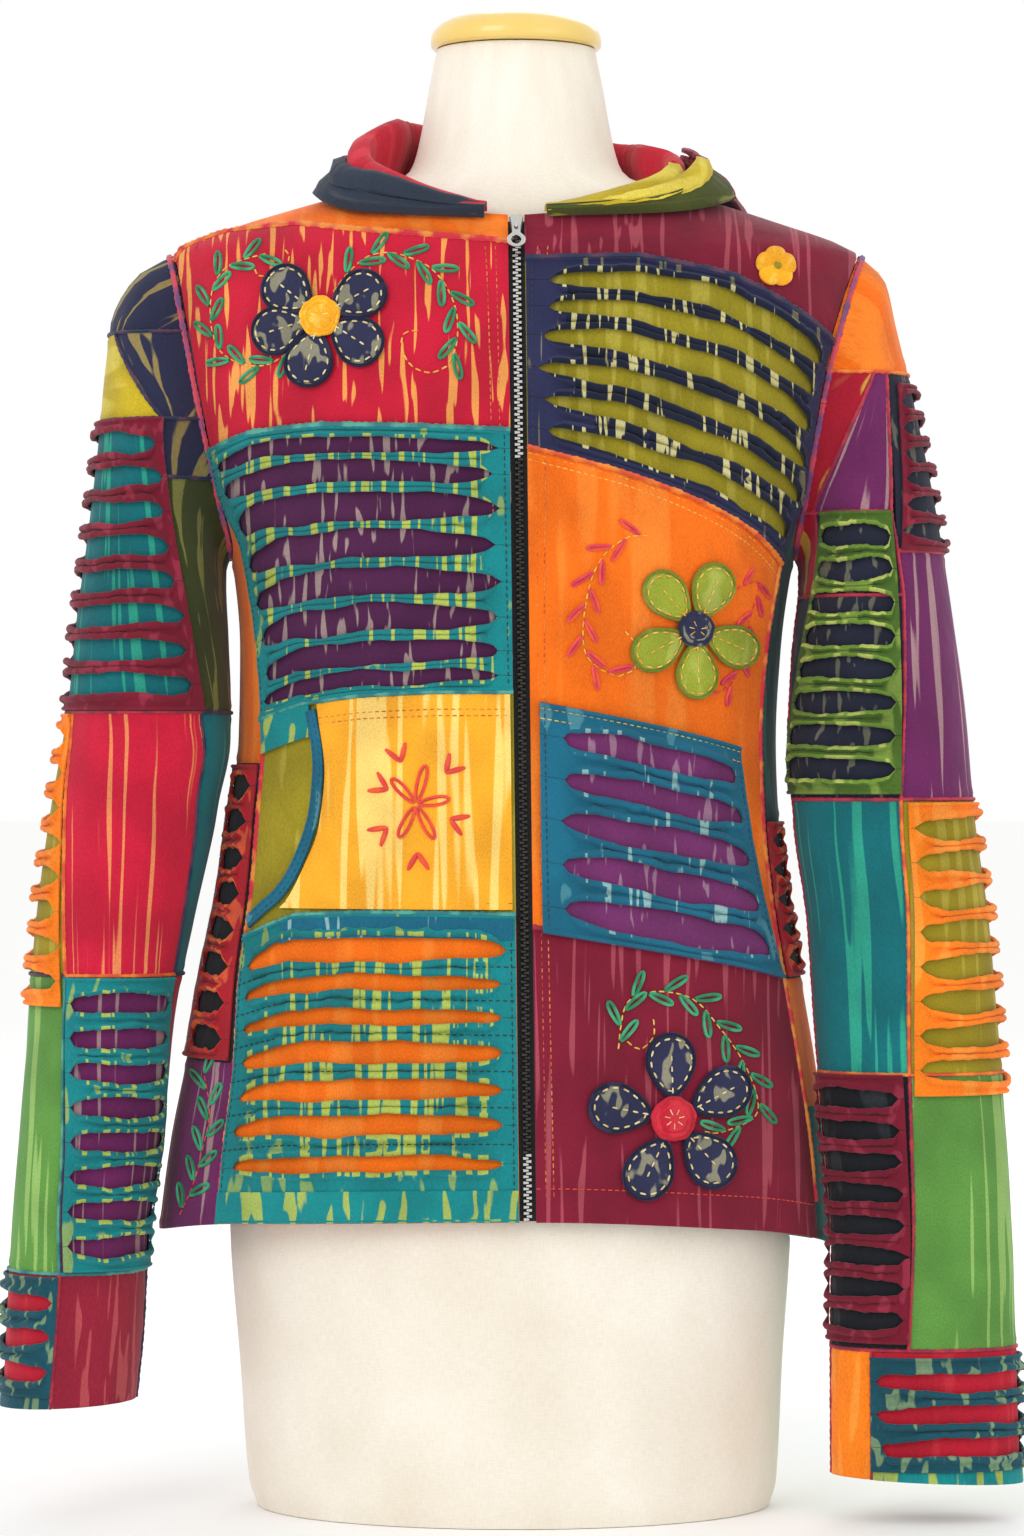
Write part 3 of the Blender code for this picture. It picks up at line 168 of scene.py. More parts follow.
SleeveRow = namedtuple("SleeveRow", "down outer_x outer_z inner_x inner_z middle_y half_depth")
SLEEVES = {
    "right": [
        SleeveRow(0, 213, 773, 178, 585, 0, 44),
        SleeveRow(1, 233, 761, 179.5, 577, -2, 50),
        SleeveRow(2, 249, 735, 179.5, 568, -4, 55),
        SleeveRow(3, 254, 700, 179, 556, -7, 57),
        SleeveRow(4, 258, 655, 178, 542, -10, 57),
        SleeveRow(5, 264, 600, 177, 522, -13, 56),
        SleeveRow(6, 271, 545, 176, 500, -16, 55),
        SleeveRow(7, 276, 492, 176, 476, -19, 54),
        SleeveRow(8, 287, 425, 184, 426, -22, 52),
        SleeveRow(9, 295, 362, 198, 362, -25, 50),
        SleeveRow(10, 300, 300, 210, 300, -28, 47),
        SleeveRow(11, 304, 240, 216, 236, -31, 45),
        SleeveRow(12, 309, 175, 226, 171, -34, 43),
        SleeveRow(13, 312, 115, 229, 112, -37, 42),
        SleeveRow(14, 314, 66, 233, 70, -40, 40),
    ],
    "left": [
        SleeveRow(0, 212, 773, 175, 585, 0, 44),
        SleeveRow(1, 228, 757, 176, 577, -2, 50),
        SleeveRow(2, 235, 728, 176, 568, -4, 53),
        SleeveRow(3, 242, 697, 175, 556, -8, 55),
        SleeveRow(4, 251, 655, 173, 542, -12, 55),
        SleeveRow(5, 261, 600, 171, 524, -17, 54),
        SleeveRow(6, 269, 545, 169.5, 502, -22, 52),
        SleeveRow(7, 276, 490, 168, 478, -27, 50),
        SleeveRow(8, 281, 425, 171, 422, -34, 46),
        SleeveRow(9, 289, 362, 179, 362, -41, 43),
        SleeveRow(10, 294, 300, 183, 300, -46, 40),
        SleeveRow(11, 299, 235, 188, 235, -51, 37),
        SleeveRow(12, 302, 165, 193, 168, -56, 34),
        SleeveRow(13, 304, 95, 192, 98, -60, 31),
        SleeveRow(14, 306, 22, 192, 27, -64, 28),
    ],
}
SLEEVE_END = 14.0

HoodRow = namedtuple("HoodRow", "angle stand fold puff rim rim_out")
HOOD = {
    "right": [
        HoodRow(6, 6, 4, 5, 4, 6),
        HoodRow(14, 10, 5, 7, 8, 9),
        HoodRow(33, 22, 7, 10, 18, 13),
        HoodRow(60, 32, 8, 13, 17, 18),
        HoodRow(90, 38, 9, 15, 13, 25),
        HoodRow(112, 36, 13, 18, 11, 38),
        HoodRow(126, 35, 20, 21, 11, 44),
        HoodRow(140, 34, 44, 26, 11, 48),
        HoodRow(152, 31, 96, 33, 11, 52),
        HoodRow(164, 29, 146, 40, 10, 56),
        HoodRow(180, 27, 168, 44, 9, 58),
    ],
    "left": [
        HoodRow(6, 4, 3, 5, 2, 6),
        HoodRow(14, 7, 4, 6, 4, 8),
        HoodRow(33, 14, 7, 9, 9, 13),
        HoodRow(60, 20, 11, 14, 17, 22),
        HoodRow(90, 22, 14, 19, 19, 33),
        HoodRow(112, 24, 22, 23, 15, 50),
        HoodRow(126, 26, 33, 26, 13, 56),
        HoodRow(140, 28, 62, 31, 12, 59),
        HoodRow(152, 28, 108, 36, 11, 60),
        HoodRow(164, 28, 148, 41, 10, 60),
        HoodRow(180, 27, 168, 44, 9, 58),
    ],
}
HOOD_LIFT = 9.5

ZIP_TOP = 787
ZIP_BOTTOM = 186
ZIP_DRIFT = 7.0
ZIP_HALF_OPENING = 5.0
FRONT_WIDTH = 190.0

Level = namedtuple("Level", "zip quarter middle three_quarter side")
LEVELS = {
    "right": {
        "yoke": Level(772, 779, 786, 784, 768),
        "chest": Level(656, 659, 661, 658, 648),
        "waist": Level(501, 501, 499, 494, 484),
        "pocket": Level(367, 368, 368, 366, 352),
    },
    "left": {
        "yoke": Level(760, 762, 752, 733, 716),
        "chest": Level(647, 633, 616, 599, 580),
        "waist": Level(360, 352, 344, 336, 328),
    },
}


class Curve:
    """A smooth curve through a table's rows, which never swings past them."""

    def __init__(self, rows, key, column):
        self.x = np.array([getattr(row, key) for row in rows], float)
        self.y = np.array([getattr(row, column) for row in rows], float)
        steps = np.diff(self.x)
        rises = np.diff(self.y) / steps
        before, after = rises[:-1], rises[1:]
        same_way = before * after > 0
        total = np.where(same_way, before + after, 1.0)
        self.slope = np.zeros_like(self.y)
        self.slope[1:-1] = np.where(same_way, 2 * before * after / total, 0.0)
        self.slope[0], self.slope[-1] = rises[0], rises[-1]

    def __call__(self, x):
        x = np.clip(np.asarray(x, float), self.x[0], self.x[-1])
        k = np.clip(np.searchsorted(self.x, x, side="right") - 1, 0, len(self.x) - 2)
        step = self.x[k + 1] - self.x[k]
        t = (x - self.x[k]) / step
        rise = 3 * t**2 - 2 * t**3
        near = self.y[k] * (1 - rise) + self.y[k + 1] * rise
        lean_in = self.slope[k] * (t**3 - 2 * t**2 + t)
        lean_out = self.slope[k + 1] * (t**3 - t**2)
        return near + step * (lean_in + lean_out)


def size(name):
    """One of the sizes in the sidebar, in millimetres."""
    return round(getattr(bpy.context.scene.jacket_sizes, name) / MM, 4)


def curves(rows, key):
    """One curve for each column of a table, by name."""
    return {c: Curve(rows, key, c) for c in rows[0]._fields if c != key}


TORSO_AT = curves(TORSO, "height")
FORM_AT = curves(FORM, "height")
SEAM_AT = curves(SIDE_SEAM, "height")
HEM_AT = Curve(HEM, "angle", "height")
NECKLINE_AT = Curve(NECKLINE, "angle", "height")
SLEEVE_AT = {side: curves(rows, "down") for side, rows in SLEEVES.items()}
HOOD_AT = {side: curves(rows, "angle") for side, rows in HOOD.items()}
SIGN = {"right": -1.0, "left": 1.0}

# Soft folds of the body: a ridge or a trough from (x, z) over (run, rise), on the front or the back
FoldRow = namedtuple("FoldRow", "face x z run rise half depth")
BODY_FOLDS = [
    FoldRow("front", -150, 600, 62, 34, 9, -1.3),
    FoldRow("front", -156, 575, 50, 10, 8, 0.9),
    FoldRow("front", -148, 500, 46, -12, 9, -1.2),
    FoldRow("front", -120, 470, 60, -16, 12, 0.8),
    FoldRow("front", 150, 610, -58, 30, 9, -1.2),
    FoldRow("front", 152, 560, -48, 6, 9, 0.9),
    FoldRow("front", 140, 480, -52, -10, 10, -1.1),
    FoldRow("front", 128, 420, 6, -120, 12, 0.9),
    FoldRow("front", 60, 300, 14, -110, 15, -1.1),
    FoldRow("front", 112, 280, 10, -100, 14, 1.0),
    FoldRow("front", -60, 330, -12, -130, 15, 0.9),
    FoldRow("front", -118, 320, -18, -130, 14, -1.0),
    FoldRow("front", -60, 690, -70, 60, 14, 0.8),
    FoldRow("front", 60, 700, 80, 36, 14, -0.8),
    FoldRow("back", -150, 600, 70, 40, 10, -1.4),
    FoldRow("back", 150, 596, -74, 34, 10, -1.4),
    FoldRow("back", -120, 500, 90, -14, 12, 1.2),
    FoldRow("back", 118, 486, -80, -18, 12, 1.1),
    FoldRow("back", -20, 470, 30, 10, 14, -1.2),
    FoldRow("back", -70, 360, -16, -150, 17, 1.4),
    FoldRow("back", -10, 350, 4, -160, 18, -1.3),
    FoldRow("back", 62, 366, 14, -170, 17, 1.3),
    FoldRow("back", 130, 330, 18, -120, 15, -1.1),
    FoldRow("back", -135, 320, -20, -120, 15, -1.1),
]
# Soft folds of the sleeves: along the turn round the arm, and down its rings
SleeveFoldRow = namedtuple("SleeveFoldRow", "side phi down turn drop half depth")
SLEEVE_FOLDS = [
    SleeveFoldRow("right", -70, 6.6, 90, 0.8, 0.20, -2.0),
    SleeveFoldRow("right", -64, 7.3, 96, 0.3, 0.22, 1.5),
    SleeveFoldRow("right", -60, 7.9, 84, -0.4, 0.20, -1.8),
    SleeveFoldRow("right", -50, 8.8, 100, -1.1, 0.26, 1.3),
    SleeveFoldRow("right", 20, 9.6, 70, 0.9, 0.26, -1.1),
    SleeveFoldRow("right", -60, 10.8, 90, 0.9, 0.26, -1.2),
    SleeveFoldRow("right", -40, 12.2, 80, -0.6, 0.24, 1.0),
    SleeveFoldRow("right", 20, 2.2, 26, 1.9, 0.30, -1.6),
    SleeveFoldRow("right", -30, 3.2, 50, 1.6, 0.30, -1.4),
    SleeveFoldRow("right", 170, 7.0, 90, 0.8, 0.25, -1.8),
    SleeveFoldRow("right", 180, 8.0, 84, -0.6, 0.25, 1.6),
    SleeveFoldRow("right", 160, 3.0, 60, 1.5, 0.35, -1.5),
    SleeveFoldRow("right", 170, 10.6, 70, 0.9, 0.30, -1.2),
    SleeveFoldRow("left", -74, 6.6, 90, 0.8, 0.20, -1.9),
    SleeveFoldRow("left", -66, 7.3, 92, 0.3, 0.22, 1.5),
    SleeveFoldRow("left", -58, 8.0, 84, -0.4, 0.20, -1.7),
    SleeveFoldRow("left", -44, 9.2, 96, -0.9, 0.26, 1.3),
    SleeveFoldRow("left", 20, 10.2, 70, 0.8, 0.26, -1.1),
    SleeveFoldRow("left", -50, 11.4, 80, 0.6, 0.26, -1.2),
    SleeveFoldRow("left", 10, 12.6, 70, -0.5, 0.24, 1.0),
    SleeveFoldRow("left", 20, 2.2, 26, 1.9, 0.30, -1.6),
    SleeveFoldRow("left", -30, 3.0, 44, 1.7, 0.30, -1.4),
    SleeveFoldRow("left", 170, 7.0, 90, 0.8, 0.25, -1.8),
    SleeveFoldRow("left", 180, 8.1, 84, -0.6, 0.25, 1.6),
    SleeveFoldRow("left", 160, 3.0, 60, 1.5, 0.35, -1.5),
    SleeveFoldRow("left", 170, 10.8, 70, 0.9, 0.30, -1.2),
]
# Soft folds of the hood: along the turn round the neck, and across its cloth
HoodFoldRow = namedtuple("HoodFoldRow", "angle share turn drift half depth")
HOOD_FOLDS = [
    HoodFoldRow(12, 0.92, 60, -0.14, 0.026, -2.2),
    HoodFoldRow(30, 0.80, 70, 0.06, 0.030, 1.6),
    HoodFoldRow(60, 0.95, 60, -0.10, 0.024, -2.0),
    HoodFoldRow(22, 0.16, 80, 0.05, 0.026, -1.8),
    HoodFoldRow(70, 0.10, 70, 0.10, 0.028, 1.5),
    HoodFoldRow(110, 0.88, 50, -0.14, 0.034, -2.4),
    HoodFoldRow(140, 0.84, 60, 0.05, 0.040, 1.8),
    HoodFoldRow(160, 0.74, 44, 0.10, 0.034, -2.2),
    HoodFoldRow(206, 0.72, 40, 0.12, 0.034, 2.0),
    HoodFoldRow(220, 0.92, 50, -0.12, 0.036, -2.4),
    HoodFoldRow(262, 0.84, 60, 0.10, 0.030, -2.0),
    HoodFoldRow(276, 0.95, 66, -0.12, 0.028, 1.8),
    HoodFoldRow(300, 0.78, 50, 0.10, 0.026, -1.8),
    HoodFoldRow(262, 0.10, 70, 0.08, 0.026, -1.8),
    HoodFoldRow(290, 0.20, 60, -0.08, 0.026, 1.6),
]


def along_fold(a, b, start, way, half):
    """How much a soft fold from start along way is felt at (a, b), from 0 to 1."""
    length = way[0] ** 2 + way[1] ** 2
    share = np.clip(((a - start[0]) * way[0] + (b - start[1]) * way[1]) / length, 0, 1)
    off = (a - start[0] - share * way[0]) ** 2 + (b - start[1] - share * way[1]) ** 2
    taper = np.sin(np.pi * (0.08 + 0.84 * share)) ** 0.7
    return np.exp(-off / half**2) * taper


def body_relief(angle, height, x):
    """How far the body's folds move its cloth out at a place."""
    out = np.zeros(np.shape(x))
    front = np.cos(np.radians(angle)) > 0
    for fold in BODY_FOLDS:
        felt = along_fold(x, height, (fold.x, fold.z), (fold.run, fold.rise), fold.half)
        out += np.where(front == (fold.face == "front"), fold.depth * felt, 0)
    calm = np.clip((np.abs(x) - 14) / 20, 0, 1)
    return out * np.where(front, calm, 1) * np.clip((790 - height) / 40, 0, 1)


def section(at, angle, height):
    """A point on a body whose level sections are ellipses, wider on one side than the other."""
    turn = np.radians(angle)
    side = np.where(np.sin(turn) < 0, at["right"](height), at["left"](height))
    depth = np.where(np.cos(turn) > 0, at["front"](height), at["back"](height))
    level = np.broadcast_to(height, turn.shape)
    return np.stack([side * np.sin(turn), -depth * np.cos(turn), level], -1)


def moved_out(surface, a, b, out, step_a, step_b):
    """The surface's point moved out square to it, by the cross of its two directions."""
    along_a = surface(a + step_a, b) - surface(a - step_a, b)
    along_b = surface(a, b + step_b) - surface(a, b - step_b)
    square = np.cross(along_a, along_b)
    square /= np.linalg.norm(square, axis=-1, keepdims=True)
    return surface(a, b) + square * np.asarray(out)[..., None]


def floats(*values):
    """Values of one shape, as floats."""
    return [np.array(v, float) for v in np.broadcast_arrays(*values)]


def torso(angle, height, out):
    """A point on the jacket's body with its folds, moved out from its outer face."""
    angle, height, out = floats(angle, height, out)
    x = section(TORSO_AT, angle, height)[..., 0]
    out = out + body_relief(angle, height, x)
    return moved_out(lambda a, z: section(TORSO_AT, a, z), angle, height, out, 0.5, 0.5)


def armhole_spread(height):
    """How far the armhole's edge stands from the side line at a height, in degrees."""
    up = np.clip((np.asarray(height, float) - ARMHOLE_MIDDLE) / ARMHOLE_HALF, -1, 1)
    return ARMHOLE_HALF_ANGLE * np.sqrt(1 - up**2) ** ARMHOLE_SQUARENESS


def front_edge(side, height):
    """The angle of a front's outer edge: the side seam, then the armhole, then the shoulder."""
    above = 90 - armhole_spread(height)
    return np.where(np.asarray(height) > ARMHOLE_JOIN, above, SEAM_AT[side](height))


def back_edge(height):
    """The angle of the back's outer edge: the back side seam, the armhole, the shoulder."""
    above = 90 + armhole_spread(height)
    return np.where(np.asarray(height) > ARMHOLE_JOIN, above, float(BACK_SEAM))


def armhole_bottom(angle):
    """The height of the armhole's lower edge at an angle between the two side seams."""
    spread = np.clip(np.abs(np.abs(angle) - 90) / ARMHOLE_HALF_ANGLE, 0, 1)
    level = spread ** (1 / ARMHOLE_SQUARENESS)
    return ARMHOLE_MIDDLE - ARMHOLE_HALF * np.sqrt(1 - level**2)


def zip_x(height):
    """The zip's place across the front, which drifts a little to the wearer's left."""
    return ZIP_DRIFT * (ZIP_TOP - np.asarray(height, float)) / (ZIP_TOP - 185)


def angle_at(x, height):
    """The angle on the body at a place across the front."""
    height = np.asarray(height, float)
    half = np.where(np.asarray(x) < 0, TORSO_AT["right"](height), TORSO_AT["left"](height))
    return np.degrees(np.arcsin(np.clip(np.asarray(x) / half, -1, 1)))


def on_front(x, z, out):
    """The point of the front at a place across and a height."""
    return torso(angle_at(x, z), z, out)


def level_of(side, name, s):
    """The height of a seam across a front, s from the zip to the side."""
    if name == "hem":
        return HEM_AT(SIGN[side] * np.asarray(s) * front_edge(side, 170.0))
    if name == "neck":
        return NECKLINE_AT(np.asarray(s) * 90)
    places = np.array([0, 0.25, 0.5, 0.75, 1.0])
    return np.interp(s, places, LEVELS[side][name])


def front_point(side, s, height, out):
    """A point on a front, s from its zip edge to its side edge."""
    sign = SIGN[side]
    start = sign * angle_at(zip_x(height) + sign * ZIP_HALF_OPENING, height)
    end = np.minimum(front_edge(side, height), 90) - SEAM_INSET
    return torso(sign * (start + (end - start) * s), height, out)


def as_walls(place, side):
    """The same place with its faces turned out: the right side runs the other way round."""
    if side == "left":
        return place
    return lambda s, t, out: place(1 - s, t, out)


def between(side, bottom, top, margin=0.0):
    """place(s, t, out) between two seams of a front, kept inside them by a margin."""

    def place(s, t, out):
        s = np.clip(s, margin / FRONT_WIDTH, 1 - margin / FRONT_WIDTH)
        low, high = level_of(side, bottom, s), level_of(side, top, s)
        share = margin / np.maximum(high - low, 1)
        height = low + (high - low) * (share + t * (1 - 2 * share))
        return front_point(side, s, height, out)

    return as_walls(place, side)


def side_place(side, bottom, top):
    """place(s, t, out) for a side patch, from the front seam to the back seam."""

    def place(s, t, out):
        sign = SIGN[side]
        angle = front_edge(side, 170.0) * (1 - s) + BACK_SEAM * s
        for _ in range(6):
            low = HEM_AT(sign * angle) if bottom is None else bottom
            high = armhole_bottom(angle) - 1.0 if top is None else top
            height = low + (high - low) * t
            start = front_edge(side, np.minimum(height, ARMHOLE_JOIN)) + SEAM_INSET
            angle = start + (BACK_SEAM - SEAM_INSET - start) * s
        return torso(sign * angle, height, out)

    return as_walls(place, side)


def back_place(s, t, out):
    """place for the back, from the wearer's left round to the wearer's right."""
    plain = 90 + 180 * s
    low = HEM_AT((plain + 180) % 360 - 180)
    high = NECKLINE_AT(180 - np.abs(plain - 180))
    height = low + (high - low) * t
    edge = np.maximum(back_edge(height), 90) + SEAM_INSET
    return torso(edge + (360 - 2 * edge) * s, height, out)


def sleeve_relief(side, phi, down):
    """How far a sleeve's folds move its cloth out at a place."""
    out = np.zeros(np.shape(phi))
    stretch = 0.012
    for fold in SLEEVE_FOLDS:
        if fold.side != side:
            continue
        apart = (phi - fold.phi + 180) % 360 - 180
        way = (fold.turn * stretch, fold.drop)
        out += fold.depth * along_fold(apart * stretch, down, (0, fold.down), way, fold.half)
    return out * np.clip(down / 1.5, 0, 1)


def sleeve_ring(side, phi, down):
    """A point on a sleeve. phi is measured from its front outwards, and down counts its rings."""
    at = SLEEVE_AT[side]
    sign = SIGN[side]
    phi = np.radians(phi)
    outer = np.stack([at["outer_x"](down), at["outer_z"](down)], -1)
    inner = np.stack([at["inner_x"](down), at["inner_z"](down)], -1)
    across = (outer + inner) / 2 + (outer - inner) / 2 * np.sin(phi)[..., None]
    y = at["middle_y"](down) - at["half_depth"](down) * np.cos(phi)
    ring = np.stack([sign * across[..., 0], y, across[..., 1]], -1)
    spread = np.sign(np.cos(phi)) * np.abs(np.cos(phi)) ** ARMHOLE_SQUARENESS
    angle = 90 - ARMHOLE_INSET * ARMHOLE_HALF_ANGLE * spread
    height = ARMHOLE_MIDDLE + ARMHOLE_HALF * ARMHOLE_INSET * np.sin(phi)
    armhole = section(TORSO_AT, sign * angle, height)
    share = np.clip(down, 0, 1)[..., None]
    share = share * share * (3 - 2 * share)
    return armhole * (1 - share) + ring * share


def sleeve(side, phi, down, out):
    """A point on a sleeve with its folds, moved out from its outer face."""
    phi, down, out = floats(phi, down, out)
    out = (out + sleeve_relief(side, phi, down)) * -SIGN[side]
    return moved_out(lambda a, d: sleeve_ring(side, a, d), phi, down, out, 1.0, 0.05)


PHI_STEP = 3.0
HEIGHT_STEP = 2.0


def down_table(side):
    """How many rings down a sleeve reaches each height, for turns and heights in even steps."""
    phi = np.arange(0, 360 + PHI_STEP, PHI_STEP)
    down = np.linspace(0, SLEEVE_END, 561)
    level = sleeve_ring(side, *np.meshgrid(phi, down, indexing="ij"))[..., 2]
    heights = np.arange(0, 800 + HEIGHT_STEP, HEIGHT_STEP)
    return np.array([np.interp(-heights, -row, down) for row in level])


DOWN_TABLE = {side: down_table(side) for side in SLEEVES}


def sleeve_down(side, phi, height):
    """How many rings down a sleeve reaches a height, read from its table."""
    table = DOWN_TABLE[side]
    a = (np.asarray(phi, float) % 360) / PHI_STEP
    b = np.clip(np.asarray(height, float) / HEIGHT_STEP, 0, table.shape[1] - 1.001)
    i, j = a.astype(int), b.astype(int)
    p, q = a - i, b - j
    i2 = np.minimum(i + 1, table.shape[0] - 1)
    low = table[i, j] * (1 - p) + table[i2, j] * p
    high = table[i, j + 1] * (1 - p) + table[i2, j + 1] * p
    return low * (1 - q) + high * q


def sleeve_place(side, low, high, start, end):
    """place(s, t, out) on a sleeve between two heights and two turns, given low and high."""

    def place(s, t, out):
        begin = start[0] + (start[1] - start[0]) * t
        stop = end[0] + (end[1] - end[0]) * t
        phi = begin + (stop - begin) * s
        return sleeve(side, phi, sleeve_down(side, phi, low + (high - low) * t), out)

    return as_walls(place, side)


def hood_relief(angle, share):
    """How far the hood's folds move its cloth out at a place."""
    out = np.zeros(np.shape(angle))
    stretch = 0.004
    for fold in HOOD_FOLDS:
        way = (fold.turn * stretch, fold.drift)
        start = (fold.angle * stretch, fold.share)
        out += fold.depth * along_fold(angle * stretch, share, start, way, fold.half)
    return out


def through(marks, share):
    """A smooth curve through marks, read at a share from 0 to 1."""
    last = len(marks) - 1
    place = np.clip(share, 0, 1) * last
    k = np.clip(np.floor(place).astype(int), 0, last - 1)
    t = (place - k)[..., None]
    stack = np.stack(marks)

    def mark(index):
        index = np.clip(index, 0, last)
        return np.take_along_axis(stack, index[None, ..., None], 0)[0]

    a, b, c, d = mark(k - 1), mark(k), mark(k + 1), mark(k + 2)
    bend = 2 * a - 5 * b + 4 * c - d
    twist = 3 * (b - c) + d - a
    return 0.5 * (2 * b + (c - a) * t + bend * t**2 + twist * t**3)


def hood_section(angle, share):
    """A point of the hood's middle line, angle round the neck and share along the cloth.

    The cloth stands up from the neckline, folds over, lies down on the shoulder or the
    back to its fold, and comes up again outside to the edge that would frame the face.
    """
    turned = (angle + 180) % 360 - 180
    mirror = np.abs(turned)
    at = {}
    for column in HoodRow._fields[1:]:
        right, left = HOOD_AT["right"][column](mirror), HOOD_AT["left"][column](mirror)
        at[column] = np.where(turned < 0, right, left)
    seam = NECKLINE_AT(mirror)
    low = seam - at["fold"]
    base = section(TORSO_AT, turned, seam)
    spread = np.stack([base[..., 0], base[..., 1], 0 * seam], -1)
    spread /= np.linalg.norm(spread, axis=-1, keepdims=True)

    def beside(rise, aside):
        return base + spread * aside[..., None] + np.stack([0 * seam, 0 * seam, rise], -1)

    def laid(height, out):
        surface = lambda a, z: section(TORSO_AT, a, z)
        return moved_out(surface, turned, height, out + 0 * seam, 0.5, 0.5)

    marks = [
        beside(0 * seam + 0.8, 0 * seam - 1.0),
        beside(at["stand"] * 0.55, -0.18 * at["stand"]),
        beside(at["stand"], -0.16 * at["stand"] + 1.0),
        beside(at["stand"] * 0.86, 5.0 + 0.05 * at["stand"]),
        beside(at["stand"] * 0.3 + 2.5, 7.0 + 0.05 * at["stand"]),
        laid(seam - at["fold"] * 0.15, HOOD_LIFT + 0.6),
        laid(seam - at["fold"] * 0.5, HOOD_LIFT + 0.6),
        laid(low, HOOD_LIFT),
        laid(low - 0.06 * at["fold"], at["puff"] * 0.5),
        laid(low + at["fold"] * 0.12, at["puff"] * 0.95),
        laid(seam - at["fold"] * 0.45, at["puff"] + 4),
        beside(at["rim"] * 0.4, at["rim_out"] + 3.0),
        beside(at["rim"], at["rim_out"]),
        beside(at["rim"] + 1.0, at["rim_out"] - 7.0),
    ]
    return through(marks, share)


def hood(angle, share, out):
    """A point on the hood with its folds, moved to either side of its middle line."""
    angle, share, out = floats(angle, share, out)
    return moved_out(hood_section, angle, share, out + hood_relief(angle, share), 1.0, 0.004)


def linear(hex_colour):
    """An sRGB hex colour as linear red, green and blue."""
    parts = [int(hex_colour[k : k + 2], 16) / 255 for k in (1, 3, 5)]
    return tuple(p / 12.92 if p <= 0.04045 else ((p + 0.055) / 1.055) ** 2.4 for p in parts)


